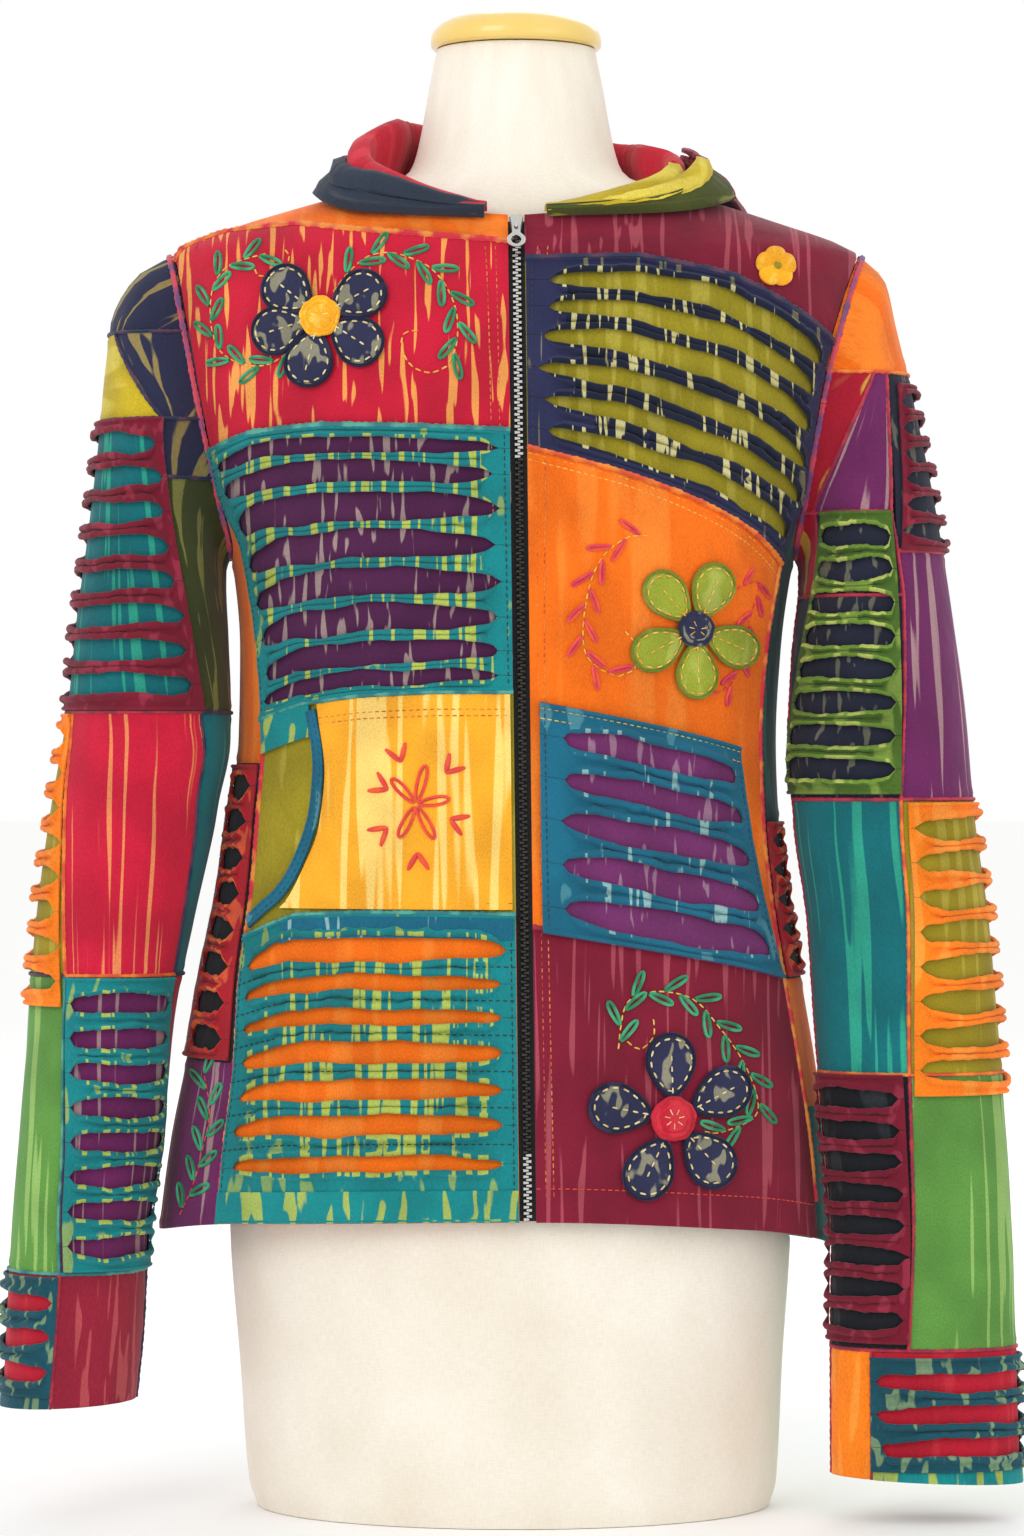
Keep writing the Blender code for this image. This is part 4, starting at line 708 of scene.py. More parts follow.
# The resist-dyed cottons: ground and streak colours, how far apart streaks lie across and along the
# cloth, the share of the ground they leave, how soft their edges are and how strong they show
DyeRow = namedtuple("DyeRow", "name slot ground streak wide long cut soft strength")
DYES = [
    DyeRow("orange", "cotton_orange", "#E8690A", "#F59A3E", 16, 150, 0.50, 0.12, 0.30),
    DyeRow("orange_gold", "cotton_orange", "#EE7B14", "#F5A343", 12, 60, 0.53, 0.08, 0.45),
    DyeRow("red", "cotton_red", "#BA1230", "#EAA050", 5.2, 64, 0.58, 0.04, 0.85),
    DyeRow("red_long", "cotton_red", "#BE1434", "#E8965A", 4.6, 240, 0.595, 0.04, 0.7),
    DyeRow("red_plain", "cotton_red", "#B81A30", "#D8404A", 14, 90, 0.54, 0.10, 0.35),
    DyeRow("red_ripped", "cotton_red", "#A81A28", "#E06A3C", 9, 20, 0.58, 0.06, 0.6),
    DyeRow("red_ripped_lip", "cotton_red", "#C8361E", "#F0803A", 8, 16, 0.52, 0.08, 0.7),
    DyeRow("red_gold", "cotton_red", "#A4122A", "#C99A3E", 10, 48, 0.565, 0.04, 0.85),
    DyeRow("maroon", "cotton_maroon", "#78122C", "#C0606C", 5.2, 120, 0.575, 0.05, 0.42),
    DyeRow("maroon_dark", "cotton_maroon", "#721028", "#A63A50", 8, 18, 0.57, 0.08, 0.4),
    DyeRow("cuff_red", "cotton_maroon", "#8A1A30", "#C05A5C", 5.5, 44, 0.57, 0.05, 0.5),
    DyeRow("teal_lime", "cotton_teal", "#0C7C80", "#A3B548", 9, 44, 0.64, 0.04, 0.6),
    DyeRow("teal_lime_lip", "cotton_teal", "#0D7478", "#A6B44E", 4.6, 90, 0.545, 0.03, 0.95),
    DyeRow("teal_lime_band", "cotton_teal", "#0D8082", "#A3B250", 7.5, 36, 0.54, 0.04, 0.9),
    DyeRow("teal", "cotton_teal", "#08656C", "#35AE8C", 6.5, 260, 0.59, 0.03, 0.6),
    DyeRow("teal_dark", "cotton_teal", "#0B3A3E", "#1C6860", 14, 50, 0.55, 0.06, 0.7),
    DyeRow("blue", "cotton_blue", "#13627C", "#5E9CA6", 10, 40, 0.63, 0.05, 0.5),
    DyeRow("blue_lip", "cotton_blue", "#12607A", "#9CC0BC", 5, 60, 0.60, 0.04, 0.7),
    DyeRow("blue_dark", "cotton_blue", "#114A58", "#7E9A70", 6, 20, 0.575, 0.05, 0.75),
    DyeRow("navy", "cotton_navy", "#25284A", "#8E8A60", 5.5, 80, 0.61, 0.04, 0.6),
    DyeRow("navy_lip", "cotton_navy", "#10182E", "#C6BE84", 4.4, 40, 0.575, 0.03, 0.9),
    DyeRow("navy_petal", "cotton_navy", "#282A48", "#9C997C", 8, 14, 0.56, 0.06, 0.65),
    DyeRow("navy_edge", "cotton_navy", "#141834", "#3A3E60", 9, 30, 0.58, 0.06, 0.4),
    DyeRow("navy_gold", "cotton_navy", "#222540", "#8F7E48", 7.5, 34, 0.555, 0.04, 0.85),
    DyeRow("navy_plain", "cotton_navy", "#1E2233", "#7A7A66", 5.5, 18, 0.61, 0.05, 0.55),
    DyeRow("navy_band", "cotton_navy", "#27303F", "#5B5A50", 110, 14, 0.56, 0.08, 0.4),
    DyeRow("olive", "cotton_olive", "#93861C", "#BDB04C", 8, 80, 0.55, 0.08, 0.45),
    DyeRow("olive_edge", "cotton_olive", "#6E7A22", "#97A040", 9, 30, 0.55, 0.08, 0.5),
    DyeRow("olive_dark", "cotton_olive", "#454C1C", "#8E8E3C", 90, 14, 0.55, 0.08, 0.5),
    DyeRow("olive_shadow", "cotton_olive", "#343A18", "#75743A", 7, 44, 0.57, 0.05, 0.8),
    DyeRow("olive_lime", "cotton_olive", "#8F9A2E", "#BFC66A", 16, 34, 0.52, 0.10, 0.4),
    DyeRow("olive_yellow", "cotton_olive", "#B8A01E", "#DCCB58", 60, 18, 0.50, 0.14, 0.6),
    DyeRow("purple", "cotton_purple", "#662056", "#BC9C98", 5.2, 170, 0.595, 0.04, 0.6),
    DyeRow("purple_soft", "cotton_purple", "#6E2C62", "#B08CA0", 5, 26, 0.63, 0.05, 0.55),
    DyeRow("purple_dark", "cotton_purple", "#4A1A44", "#A8928C", 5, 30, 0.60, 0.05, 0.75),
    DyeRow("yellow", "cotton_yellow", "#EBA224", "#F4D378", 8.5, 170, 0.52, 0.06, 0.8),
    DyeRow("yellow_soft", "cotton_yellow", "#EFA41C", "#F6C44A", 6, 8, 0.50, 0.15, 0.6),
    DyeRow("green", "cotton_green", "#578A3C", "#A2C470", 6, 240, 0.565, 0.04, 0.55),
    DyeRow("green_lime", "cotton_olive", "#43601F", "#86A044", 12, 30, 0.56, 0.08, 0.6),
    DyeRow("green_lime_lip", "cotton_olive", "#64842C", "#B4C064", 9, 40, 0.53, 0.08, 0.75),
    DyeRow("black", "cotton_black", "#191C22", "#3B4246", 12, 60, 0.58, 0.06, 0.5),
]
DYE = {row.name: row for row in DYES}


def add(tree, kind, inputs=None, **settings):
    """Adds a node with its settings, and sets or links its inputs."""
    node = tree.nodes.new(kind)
    for key, value in settings.items():
        setattr(node, key, value)
    for key, value in (inputs or {}).items():
        if isinstance(value, bpy.types.NodeSocket):
            tree.links.new(value, node.inputs[key])
        else:
            node.inputs[key].default_value = value
    return node


def blank(name):
    """A new material with only its output, and that output."""
    made = bpy.data.materials.new(name)
    made.use_nodes = True
    made.node_tree.nodes.clear()
    return made, add(made.node_tree, "ShaderNodeOutputMaterial")


def finished(made, output, shader):
    """Links the shader to the material's output."""
    made.node_tree.links.new(shader.outputs["BSDF"], output.inputs["Surface"])
    return made


# How much the drips of wax wander, as the noise's distortion
DRIP_BEND = 0.35
# Real jersey has about 1 mm between its stitches. It is drawn coarser, so that it shows.
KNIT_SPACING = 1.6
FIBRE = 0.7
MATERIALS = {}


def cotton(name):
    """Resist-dyed cotton jersey, garment washed: matt, softly mottled, with pale drips of wax."""
    if name in MATERIALS:
        return MATERIALS[name]
    dye = DYE[name]
    colours = bpy.context.scene.jacket_colours
    ground = (*getattr(colours, name), 1.0)
    streak = (*linear(dye.streak), 1.0)
    made, output = blank(f"cotton_jersey_{name}")
    tree = made.node_tree
    where = add(tree, "ShaderNodeAttribute", attribute_name="cloth").outputs["Vector"]

    def noise(wide, long, detail, shift=0.0, bent=0.0):
        scale = (1000 / wide, 1000 / long, 7.3)
        at = add(tree, "ShaderNodeVectorMath", {0: where, 1: scale}, operation="MULTIPLY")
        moved = add(tree, "ShaderNodeVectorMath", {0: at.outputs[0], 1: (shift, shift, 0)})
        inputs = {"Vector": moved.outputs[0], "Scale": 1.0, "Detail": detail, "Distortion": bent}
        return add(tree, "ShaderNodeTexNoise", inputs).outputs["Fac"]

    def ranged(value, low, high, to_low, to_high):
        inputs = {"Value": value, "From Min": low, "From Max": high}
        inputs.update({"To Min": to_low, "To Max": to_high})
        kind = "ShaderNodeMapRange"
        return add(tree, kind, inputs, interpolation_type="SMOOTHSTEP").outputs["Result"]

    flow = noise(dye.wide, dye.long, 1.0, bent=DRIP_BEND)
    drips = ranged(flow, dye.cut, dye.cut + dye.soft, 0, dye.strength)
    mixed = add(tree, "ShaderNodeMix", {0: drips, 6: ground, 7: streak}, data_type="RGBA").outputs[2]
    broad = ranged(noise(38, 52, 2.0, 11.0), 0.3, 0.7, 0.84, 1.12)
    speck = ranged(noise(FIBRE, FIBRE * 2, 2.0, 5.0), 0.25, 0.75, 0.86, 1.12)
    value = add(tree, "ShaderNodeMath", {0: broad, 1: speck}, operation="MULTIPLY").outputs[0]
    dyed = add(tree, "ShaderNodeHueSaturation", {"Value": value, "Color": mixed})
    knit = noise(KNIT_SPACING * 0.6, KNIT_SPACING * 1.8, 1.0)
    soft = noise(9, 14, 2.0, 3.0)
    bump = add(tree, "ShaderNodeBump", {"Strength": 0.35, "Distance": 0.0005, "Height": knit})
    inputs = {"Strength": 0.5, "Distance": 0.0016, "Height": soft, "Normal": bump.outputs[0]}
    bump = add(tree, "ShaderNodeBump", inputs)
    inputs = {"Base Color": dyed.outputs[0], "Normal": bump.outputs[0]}
    inputs.update({"Roughness": 0.9, "Sheen Weight": 0.12, "Sheen Roughness": 0.5})
    inputs["Specular IOR Level"] = 0.25
    MATERIALS[name] = finished(made, output, add(tree, "ShaderNodeBsdfPrincipled", inputs))
    return MATERIALS[name]


def thread(name, first, second):
    """Mercerised cotton thread: a soft shine along its twist, and colour that drifts."""
    if name in MATERIALS:
        return MATERIALS[name]
    made, output = blank(name)
    tree = made.node_tree
    where = add(tree, "ShaderNodeAttribute", attribute_name="cloth").outputs["Vector"]
    inputs = {0: where, 1: (1000 / 14, 1000 / 14, 3.7)}
    at = add(tree, "ShaderNodeVectorMath", inputs, operation="MULTIPLY").outputs[0]
    drift = add(tree, "ShaderNodeTexNoise", {"Vector": at, "Scale": 1.0, "Detail": 1.0})
    inputs = {"Value": drift.outputs["Fac"], "From Min": 0.42, "From Max": 0.58}
    share = add(tree, "ShaderNodeMapRange", inputs).outputs["Result"]
    inputs = {0: share, 6: (*linear(first), 1), 7: (*linear(second), 1)}
    colour = add(tree, "ShaderNodeMix", inputs, data_type="RGBA").outputs[2]
    inputs = {0: where, 1: (1000 / 1.1, 1000 / 1.1, 1.0)}
    close = add(tree, "ShaderNodeVectorMath", inputs, operation="MULTIPLY").outputs[0]
    twist = add(tree, "ShaderNodeTexNoise", {"Vector": close, "Scale": 1.0, "Detail": 0.0})
    inputs = {"Strength": 0.6, "Distance": 0.0004, "Height": twist.outputs["Fac"]}
    bump = add(tree, "ShaderNodeBump", inputs)
    inputs = {"Base Color": colour, "Normal": bump.outputs[0], "Roughness": 0.6}
    inputs.update({"Sheen Weight": 0.1, "Specular IOR Level": 0.35})
    MATERIALS[name] = finished(made, output, add(tree, "ShaderNodeBsdfPrincipled", inputs))
    return MATERIALS[name]


def zip_metal():
    """Nickel-plated brass, tumbled: bright, with faint wear that breaks its shine."""
    if "zip_metal" in MATERIALS:
        return MATERIALS["zip_metal"]
    made, output = blank("nickel_plated_brass")
    tree = made.node_tree
    where = add(tree, "ShaderNodeTexCoord").outputs["Object"]
    wear = add(tree, "ShaderNodeTexNoise", {"Vector": where, "Scale": 900.0, "Detail": 3.0})
    inputs = {"Value": wear.outputs["Fac"], "To Min": 0.2, "To Max": 0.42}
    rough = add(tree, "ShaderNodeMapRange", inputs).outputs["Result"]
    inputs = {"Base Color": (*linear("#C9C7C2"), 1), "Metallic": 1.0, "Roughness": rough}
    MATERIALS["zip_metal"] = finished(made, output, add(tree, "ShaderNodeBsdfPrincipled", inputs))
    return MATERIALS["zip_metal"]


def zip_oxide_and_shade():
    """Brass for the teeth between the glints: nearly black, partly its own oxide and partly painted shade,
    with a dull metal shine on its high places.
    """
    made, output = blank("oxidised_brass")
    tree = made.node_tree
    where = add(tree, "ShaderNodeTexCoord").outputs["Object"]
    wear = add(tree, "ShaderNodeTexNoise", {"Vector": where, "Scale": 500.0, "Detail": 3.0})
    inputs = {0: wear.outputs["Fac"], 6: (*linear("#17181A"), 1), 7: (*linear("#55524C"), 1)}
    colour = add(tree, "ShaderNodeMix", inputs, data_type="RGBA").outputs[2]
    inputs = {"Base Color": colour, "Metallic": 1.0, "Roughness": 0.45}
    return finished(made, output, add(tree, "ShaderNodeBsdfPrincipled", inputs))


def zip_tape():
    """Black polyester tape, woven: fine cross ribs with a dull shine."""
    if "zip_tape" in MATERIALS:
        return MATERIALS["zip_tape"]
    made, output = blank("woven_polyester_tape")
    tree = made.node_tree
    where = add(tree, "ShaderNodeAttribute", attribute_name="cloth").outputs["Vector"]
    inputs = {0: where, 1: (1000 / 1.2, 1000 / 0.9, 1.0)}
    at = add(tree, "ShaderNodeVectorMath", inputs, operation="MULTIPLY").outputs[0]
    weave = add(tree, "ShaderNodeTexNoise", {"Vector": at, "Scale": 1.0, "Detail": 1.0})
    inputs = {"Strength": 0.6, "Distance": 0.0003, "Height": weave.outputs["Fac"]}
    bump = add(tree, "ShaderNodeBump", inputs)
    inputs = {"Value": weave.outputs["Fac"], "To Min": 0.5, "To Max": 1.6}
    shade = add(tree, "ShaderNodeMapRange", inputs).outputs["Result"]
    inputs = {"Value": shade, "Color": (*linear("#16181B"), 1)}
    colour = add(tree, "ShaderNodeHueSaturation", inputs).outputs[0]
    inputs = {"Base Color": colour, "Normal": bump.outputs[0], "Roughness": 0.7}
    MATERIALS["zip_tape"] = finished(made, output, add(tree, "ShaderNodeBsdfPrincipled", inputs))
    return MATERIALS["zip_tape"]


def form_cover():
    """Unbleached calico over a padded form, woven: cream, with slubs and a fine thread grid."""
    if "form_cover" in MATERIALS:
        return MATERIALS["form_cover"]
    made, output = blank("unbleached_calico")
    tree = made.node_tree
    where = add(tree, "ShaderNodeAttribute", attribute_name="cloth").outputs["Vector"]

    def noise(wide, long, detail):
        inputs = {0: where, 1: (1000 / wide, 1000 / long, 1.0)}
        at = add(tree, "ShaderNodeVectorMath", inputs, operation="MULTIPLY").outputs[0]
        return add(tree, "ShaderNodeTexNoise", {"Vector": at, "Scale": 1.0, "Detail": detail})

    across, down, broad = noise(6, 0.9, 1.0), noise(0.9, 6, 1.0), noise(70, 90, 2.0)
    inputs = {0: across.outputs["Fac"], 1: down.outputs["Fac"]}
    weave = add(tree, "ShaderNodeMath", inputs, operation="ADD").outputs[0]
    inputs = {"Value": weave, "From Min": 0.6, "From Max": 1.4, "To Min": 0.93, "To Max": 1.04}
    speck = add(tree, "ShaderNodeMapRange", inputs).outputs["Result"]
    inputs = {"Value": broad.outputs["Fac"], "From Min": 0.3, "From Max": 0.7}
    share = add(tree, "ShaderNodeMapRange", inputs).outputs["Result"]
    inputs = {0: share, 6: (*linear("#E6DCCB"), 1), 7: (*linear("#F0E9DC"), 1)}
    cream = add(tree, "ShaderNodeMix", inputs, data_type="RGBA").outputs[2]
    colour = add(tree, "ShaderNodeHueSaturation", {"Value": speck, "Color": cream}).outputs[0]
    bump = add(tree, "ShaderNodeBump", {"Strength": 0.4, "Distance": 0.0004, "Height": weave})
    inputs = {"Base Color": colour, "Normal": bump.outputs[0], "Roughness": 0.92}
    inputs["Sheen Weight"] = 0.1
    MATERIALS["form_cover"] = finished(made, output, add(tree, "ShaderNodeBsdfPrincipled", inputs))
    return MATERIALS["form_cover"]


def cap_enamel():
    """Glossy enamel on turned wood: deep yellow under a clear shine, with faint dimples."""
    made, output = blank("gloss_enamel")
    tree = made.node_tree
    where = add(tree, "ShaderNodeTexCoord").outputs["Object"]
    broad = add(tree, "ShaderNodeTexNoise", {"Vector": where, "Scale": 34.0, "Detail": 2.0})
    inputs = {0: broad.outputs["Fac"], 6: (*linear("#E3BE5A"), 1), 7: (*linear("#EACB70"), 1)}
    colour = add(tree, "ShaderNodeMix", inputs, data_type="RGBA").outputs[2]
    dimple = add(tree, "ShaderNodeTexNoise", {"Vector": where, "Scale": 420.0, "Detail": 1.0})
    inputs = {"Strength": 0.05, "Distance": 0.0004, "Height": dimple.outputs["Fac"]}
    bump = add(tree, "ShaderNodeBump", inputs)
    inputs = {"Base Color": colour, "Normal": bump.outputs[0], "Roughness": 0.3}
    inputs.update({"Coat Weight": 0.6, "Coat Roughness": 0.12})
    return finished(made, output, add(tree, "ShaderNodeBsdfPrincipled", inputs))


THREADS = {
    "thread_green": ("#35A070", "#1F7A52"),
    "thread_cream": ("#E6D9A6", "#CDBB7C"),
    "thread_gold": ("#E2A63A", "#E8C25A"),
    "thread_red": ("#E2502F", "#D23A36"),
    "thread_pink": ("#E0503C", "#C9324A"),
    "thread_dark": ("#1E3A3C", "#3B2C33"),
    "thread_warm": ("#D98A3A", "#B8502A"),
    "overlock_warm": ("#C8283A", "#E0893A"),
    "overlock_pink": ("#C8485A", "#6E4A7A"),
    "overlock_cool": ("#1F6F74", "#4E9A8C"),
    "overlock_dark": ("#1C2444", "#4A3048"),
    "overlock_red": ("#B02A3E", "#8A1E3A"),
    "overlock_orange": ("#E8802A", "#D0502A"),
}


class Mesh:
    """Points, faces and cloth places of one piece, gathered before its object is made."""

    def __init__(self):
        self.points, self.cloth, self.faces, self.slots, self.count = [], [], [], [], 0

    def add(self, points, faces, cloth, slots=None):
        points = np.asarray(points, float).reshape(-1, 3)
        cloth = np.asarray(cloth, float).reshape(-1, 3)
        self.points.append(points)
        self.cloth.append(cloth)
        for number, some in enumerate(faces):
            some = np.asarray(some, int)
            if len(some):
                self.faces.extend((some + self.count).tolist())
                self.slots.extend([slots[number] if slots else 0] * len(some))
        self.count += len(points)

    def made(self, name, *materials, sharp=50.0, merge=False):
        """Makes the object, shaded smooth but for its sharp edges."""
        mesh = bpy.data.meshes.new(name)
        mesh.from_pydata((np.concatenate(self.points) * MM).tolist(), [], self.faces)
        where = mesh.attributes.new("cloth", "FLOAT_VECTOR", "POINT")
        where.data.foreach_set("vector", (np.concatenate(self.cloth) * MM).ravel())
        for material in materials:
            mesh.materials.append(material)
        mesh.polygons.foreach_set("material_index", self.slots)
        if merge:
            mesh.validate()
        mesh.shade_smooth()
        mesh.set_sharp_from_angle(angle=math.radians(sharp))
        made = bpy.data.objects.new(name, mesh)
        bpy.context.scene.collection.objects.link(made)
        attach(made, BODY)
        return made


def grid_faces(rows, columns):
    """The four-sided faces of a grid of points."""
    corner = np.arange((rows - 1) * columns).reshape(rows - 1, columns)[:, :-1].ravel()
    return np.stack([corner, corner + 1, corner + columns + 1, corner + columns], 1)


def rim_faces(rows, columns, count):
    """The faces that close a shell of two grids round its edge."""
    grid = np.arange(rows * columns).reshape(rows, columns)
    edges = [np.stack([grid[0, 1:], grid[0, :-1]], 1), np.stack([grid[-1, :-1], grid[-1, 1:]], 1)]
    edges += [np.stack([grid[:-1, 0], grid[1:, 0]], 1), np.stack([grid[1:, -1], grid[:-1, -1]], 1)]
    a, b = np.concatenate(edges).T
    return np.stack([a, b, b + count, a + count], 1)


PATCH_NUMBER = {"next": 1}


def next_patch():
    """A number for each patch, so that no two show the same stretch of dyed cloth."""
    PATCH_NUMBER["next"] += 1
    return PATCH_NUMBER["next"] * 1000.0


def cut_size(place):
    """The width and length of a patch's cut, along the middles of its rows and columns."""
    s, t = np.meshgrid(np.linspace(0, 1, 25), np.linspace(0, 1, 25))
    points = place(s, t, np.zeros(s.shape))
    wide = np.linalg.norm(np.diff(points, axis=1), axis=-1).sum(1).mean()
    long = np.linalg.norm(np.diff(points, axis=0), axis=-1).sum(0).mean()
    return wide, long


def cut_area(place):
    """The area of a patch's cut, in square millimetres, for one that isn't a rectangle."""
    s, t = np.meshgrid(np.linspace(0, 1, 25), np.linspace(0, 1, 25))
    points = place(s, t, np.zeros(s.shape))
    across, up = np.diff(points, axis=1)[:-1], np.diff(points, axis=0)[:, :-1]
    return np.linalg.norm(np.cross(across, up), axis=-1).sum()


def cloth_places(points, across, up, number, upright):
    """Where points lie on their dyed cloth. Upright cloth is dyed in drips that hang straight."""
    across = points[..., 0] if upright else across
    return np.stack([across, up, np.full(points.shape[:-1], number)], -1)


def shell(name, place, low, high, dye, replaces=(), pucker=0.35, grid=GRID, turned=0.0,
          upright=False):
    """A patch of cloth with its two faces and its edge, puckered a little along its seams.

    turned is the width that a narrow strip's cut has besides what lies flat, round its edges.
    """
    wide, long = cut_size(place)
    across = np.linspace(0, 1, max(3, round(wide / grid) + 1))
    up = np.linspace(0, 1, max(3, round(long / grid) + 1))
    s, t = np.meshgrid(across, up)
    beside = np.minimum(s, 1 - s) * wide
    above = np.minimum(t, 1 - t) * long
    ripple = np.sin(t * long / 2.3 + 3 * s) * np.exp(-beside / 6)
    ripple += np.sin(s * wide / 2.3 + 3 * t) * np.exp(-above / 6)
    edge = np.minimum(1, np.minimum(beside, above) / 3)
    ripple *= pucker * edge
    ripple += size("seam_ridge") * np.exp(-(((np.minimum(beside, above) - 4.5) / 2.6) ** 2))
    outer = place(s, t, high + ripple)
    inner = place(s, t, low + ripple)
    rows, columns = s.shape
    count = rows * columns
    cloth = cloth_places(outer, s * wide, t * long, next_patch(), upright)
    mesh = Mesh()
    faces = grid_faces(rows, columns)
    both = [faces, faces[:, ::-1] + count, rim_faces(rows, columns, count)]
    mesh.add(np.stack([outer, inner]), both, np.stack([cloth, cloth]))
    made = mesh.made(name, cotton(dye), merge=True)
    area = None if turned else cut_area(place)
    dressed((wide + turned, long), replaces, area)
    return made


def dressed(cut, replaces=(), area=None):
    """Works out a piece of cloth's area from its cut, and hides the parts that it stands for."""
    if area:
        area = min(area, cut[0] * cut[1]) * MM * MM
    if replaces:
        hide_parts(*replaces)


def wander(rng, places, waves, period):
    """A smooth uneven line between about -1 and 1 over places, in millimetres."""
    line = np.zeros(np.shape(places))
    for k in range(waves):
        line += np.sin(places * 2 * np.pi / (period * (0.7 + 0.5 * k)) + rng.uniform(0, 6.3))
    return line / waves**0.5 / 1.2


LIP_TURNS = np.radians([-90, -128, -166, -204, -242, -280, -318, -350])
CREASE_SHARES = (0.3, 0.5, 0.7)
OUTER_LIP = np.array([2, 3, 4])
PLAIN_MIDDLE = 3.0
BARRED_WIDTH = 120.0


def slashed(name, place, slits, lift, dye, replaces=(), ends=(0.05, 0.95), lip=2.7, waves=0.07,
            ruffle=0.0, blunt=0.28, upright=False, seed=1):
    """A slashed upper layer: strips with rolled lips, joined at both sides.

    slits holds the (middle, reach) of each slit from the bottom up, as shares of the height.
    """
    rng = np.random.default_rng(seed)
    wide, long = cut_size(place)
    across = np.linspace(0, 1, round(wide / 2.8) + 1)
    run = across * wide
    lines, rolls = [np.zeros(len(across))], [np.full(len(across), 0.35)]
    for centre, reach in slits:
        start = ends[0] + rng.uniform(-0.012, 0.012)
        end = ends[1] + rng.uniform(-0.012, 0.012)
        inside = np.clip(1 - ((across - (start + end) / 2) / ((end - start) / 2)) ** 2, 0, 1)
        gape = inside**blunt
        felt = np.clip(inside * 7, 0, 1)
        drift = felt * 0.9 * wander(rng, run, 2, 90)
        for way in (-1, 1):
            wave = 1 + waves * wander(rng, run, 2, 60)
            line = centre * long + way * reach * long * gape * wave + drift
            line += felt * 0.3 * wander(rng, run, 3, 17)
            line += felt * ruffle * wander(rng, run, 2, 8)
            lines.append(line)
            rolls.append(felt * (0.85 + 0.15 * wander(rng, run, 3, 14)))
    lines.append(np.full(len(across), long))
    rolls.append(np.full(len(across), 0.35))
    mesh = Mesh()
    number = next_patch()
    thin = LAYER / 2
    left = 0.0
    for k in range(0, len(lines), 2):
        low, high = lines[k], lines[k + 1]
        room = np.maximum(high - low, 0.6)
        radii = []
        for roll in (rolls[k], rolls[k + 1]):
            radii.append(np.minimum(thin + (lip - thin) * np.clip(roll, 0, 1.2), room * 0.25))
        low_r, high_r = radii
        left += (room.mean() + 2 * lip) * wide
        places, levels = [], []
        for turn in LIP_TURNS:
            level = low_r + low_r * np.sin(turn)
            places.append(low + low_r + low_r * np.cos(turn))
            levels.append(lift + (level if turn > -np.pi * 1.5 else np.maximum(level, LAYER)))
        middle = room - 2 * low_r - 2 * high_r
        for share in CREASE_SHARES:
            places.append(low + 2 * low_r + middle * share)
            crease = 0.25 * np.sin(run / 7.1 + 5 * share) * math.sin(math.pi * share)
            levels.append(lift + LAYER + crease)
        for turn in LIP_TURNS[::-1]:
            level = high_r + high_r * np.sin(turn)
            places.append(high - high_r - high_r * np.cos(turn))
            levels.append(lift + (level if turn > -np.pi * 1.5 else np.maximum(level, LAYER)))
        places.append((low + high) / 2)
        levels.append(np.full(len(across), float(lift)))
        loop = len(places)
        t = np.array(places) / long
        s = np.broadcast_to(across, t.shape)
        points = place(s, np.clip(t, 0, 1), np.array(levels))
        cloth = cloth_places(points, s * wide, t * long, number, upright)
        columns = len(across)
        index = np.arange(loop * columns).reshape(loop, columns)
        after = np.roll(index, -1, axis=0)
        faces = np.stack([index[:, :-1], index[:, 1:], after[:, 1:], after[:, :-1]], -1)
        rolled = np.zeros((loop, columns - 1), bool)
        crease = len(LIP_TURNS) + len(CREASE_SHARES)
        if k > 0:
            rolled[OUTER_LIP] = low_r[:-1] > thin * 1.5
        if k + 2 < len(lines):
            rolled[crease + OUTER_LIP] = high_r[:-1] > thin * 1.5
        if 0 < k < len(lines) - 2 and wide > BARRED_WIDTH:
            barred = (middle[:-1] < PLAIN_MIDDLE) & (low_r[:-1] > thin * 1.5)
            rolled[OUTER_LIP[0] : crease + OUTER_LIP[-1] + 1] |= barred
        ends_faces = [[index[:, 0]], [index[::-1, -1]]]
        mesh.add(points, [faces[~rolled], faces[rolled], *ends_faces], cloth, (0, 1, 0, 0))
    lip_dye = dye + "_lip" if dye + "_lip" in DYE else dye
    made = mesh.made(name, cotton(dye), cotton(lip_dye), sharp=70)
    dressed((wide, long), replaces, left)
    return made


def traced(place, s, t, out):
    """Points on a piece along places (s, t), with the way out of the cloth at each."""
    s, t = floats(s, t)
    points = place(s, t, np.full(s.shape, float(out)))
    way = place(s, t, np.full(s.shape, out + 1.0)) - points
    return points, way / np.linalg.norm(way, axis=-1, keepdims=True)


def resampled(points, ways, step):
    """A line's points and ways out at even steps along it, and how far along each lies."""
    apart = np.linalg.norm(np.diff(points, axis=0), axis=1)
    far = np.concatenate([[0], np.cumsum(apart)])
    at = np.arange(0, far[-1] + step * 0.5, step)
    even = np.stack([np.interp(at, far, points[:, k]) for k in range(3)], 1)
    out = np.stack([np.interp(at, far, ways[:, k]) for k in range(3)], 1)
    return even, out / np.linalg.norm(out, axis=1, keepdims=True), at


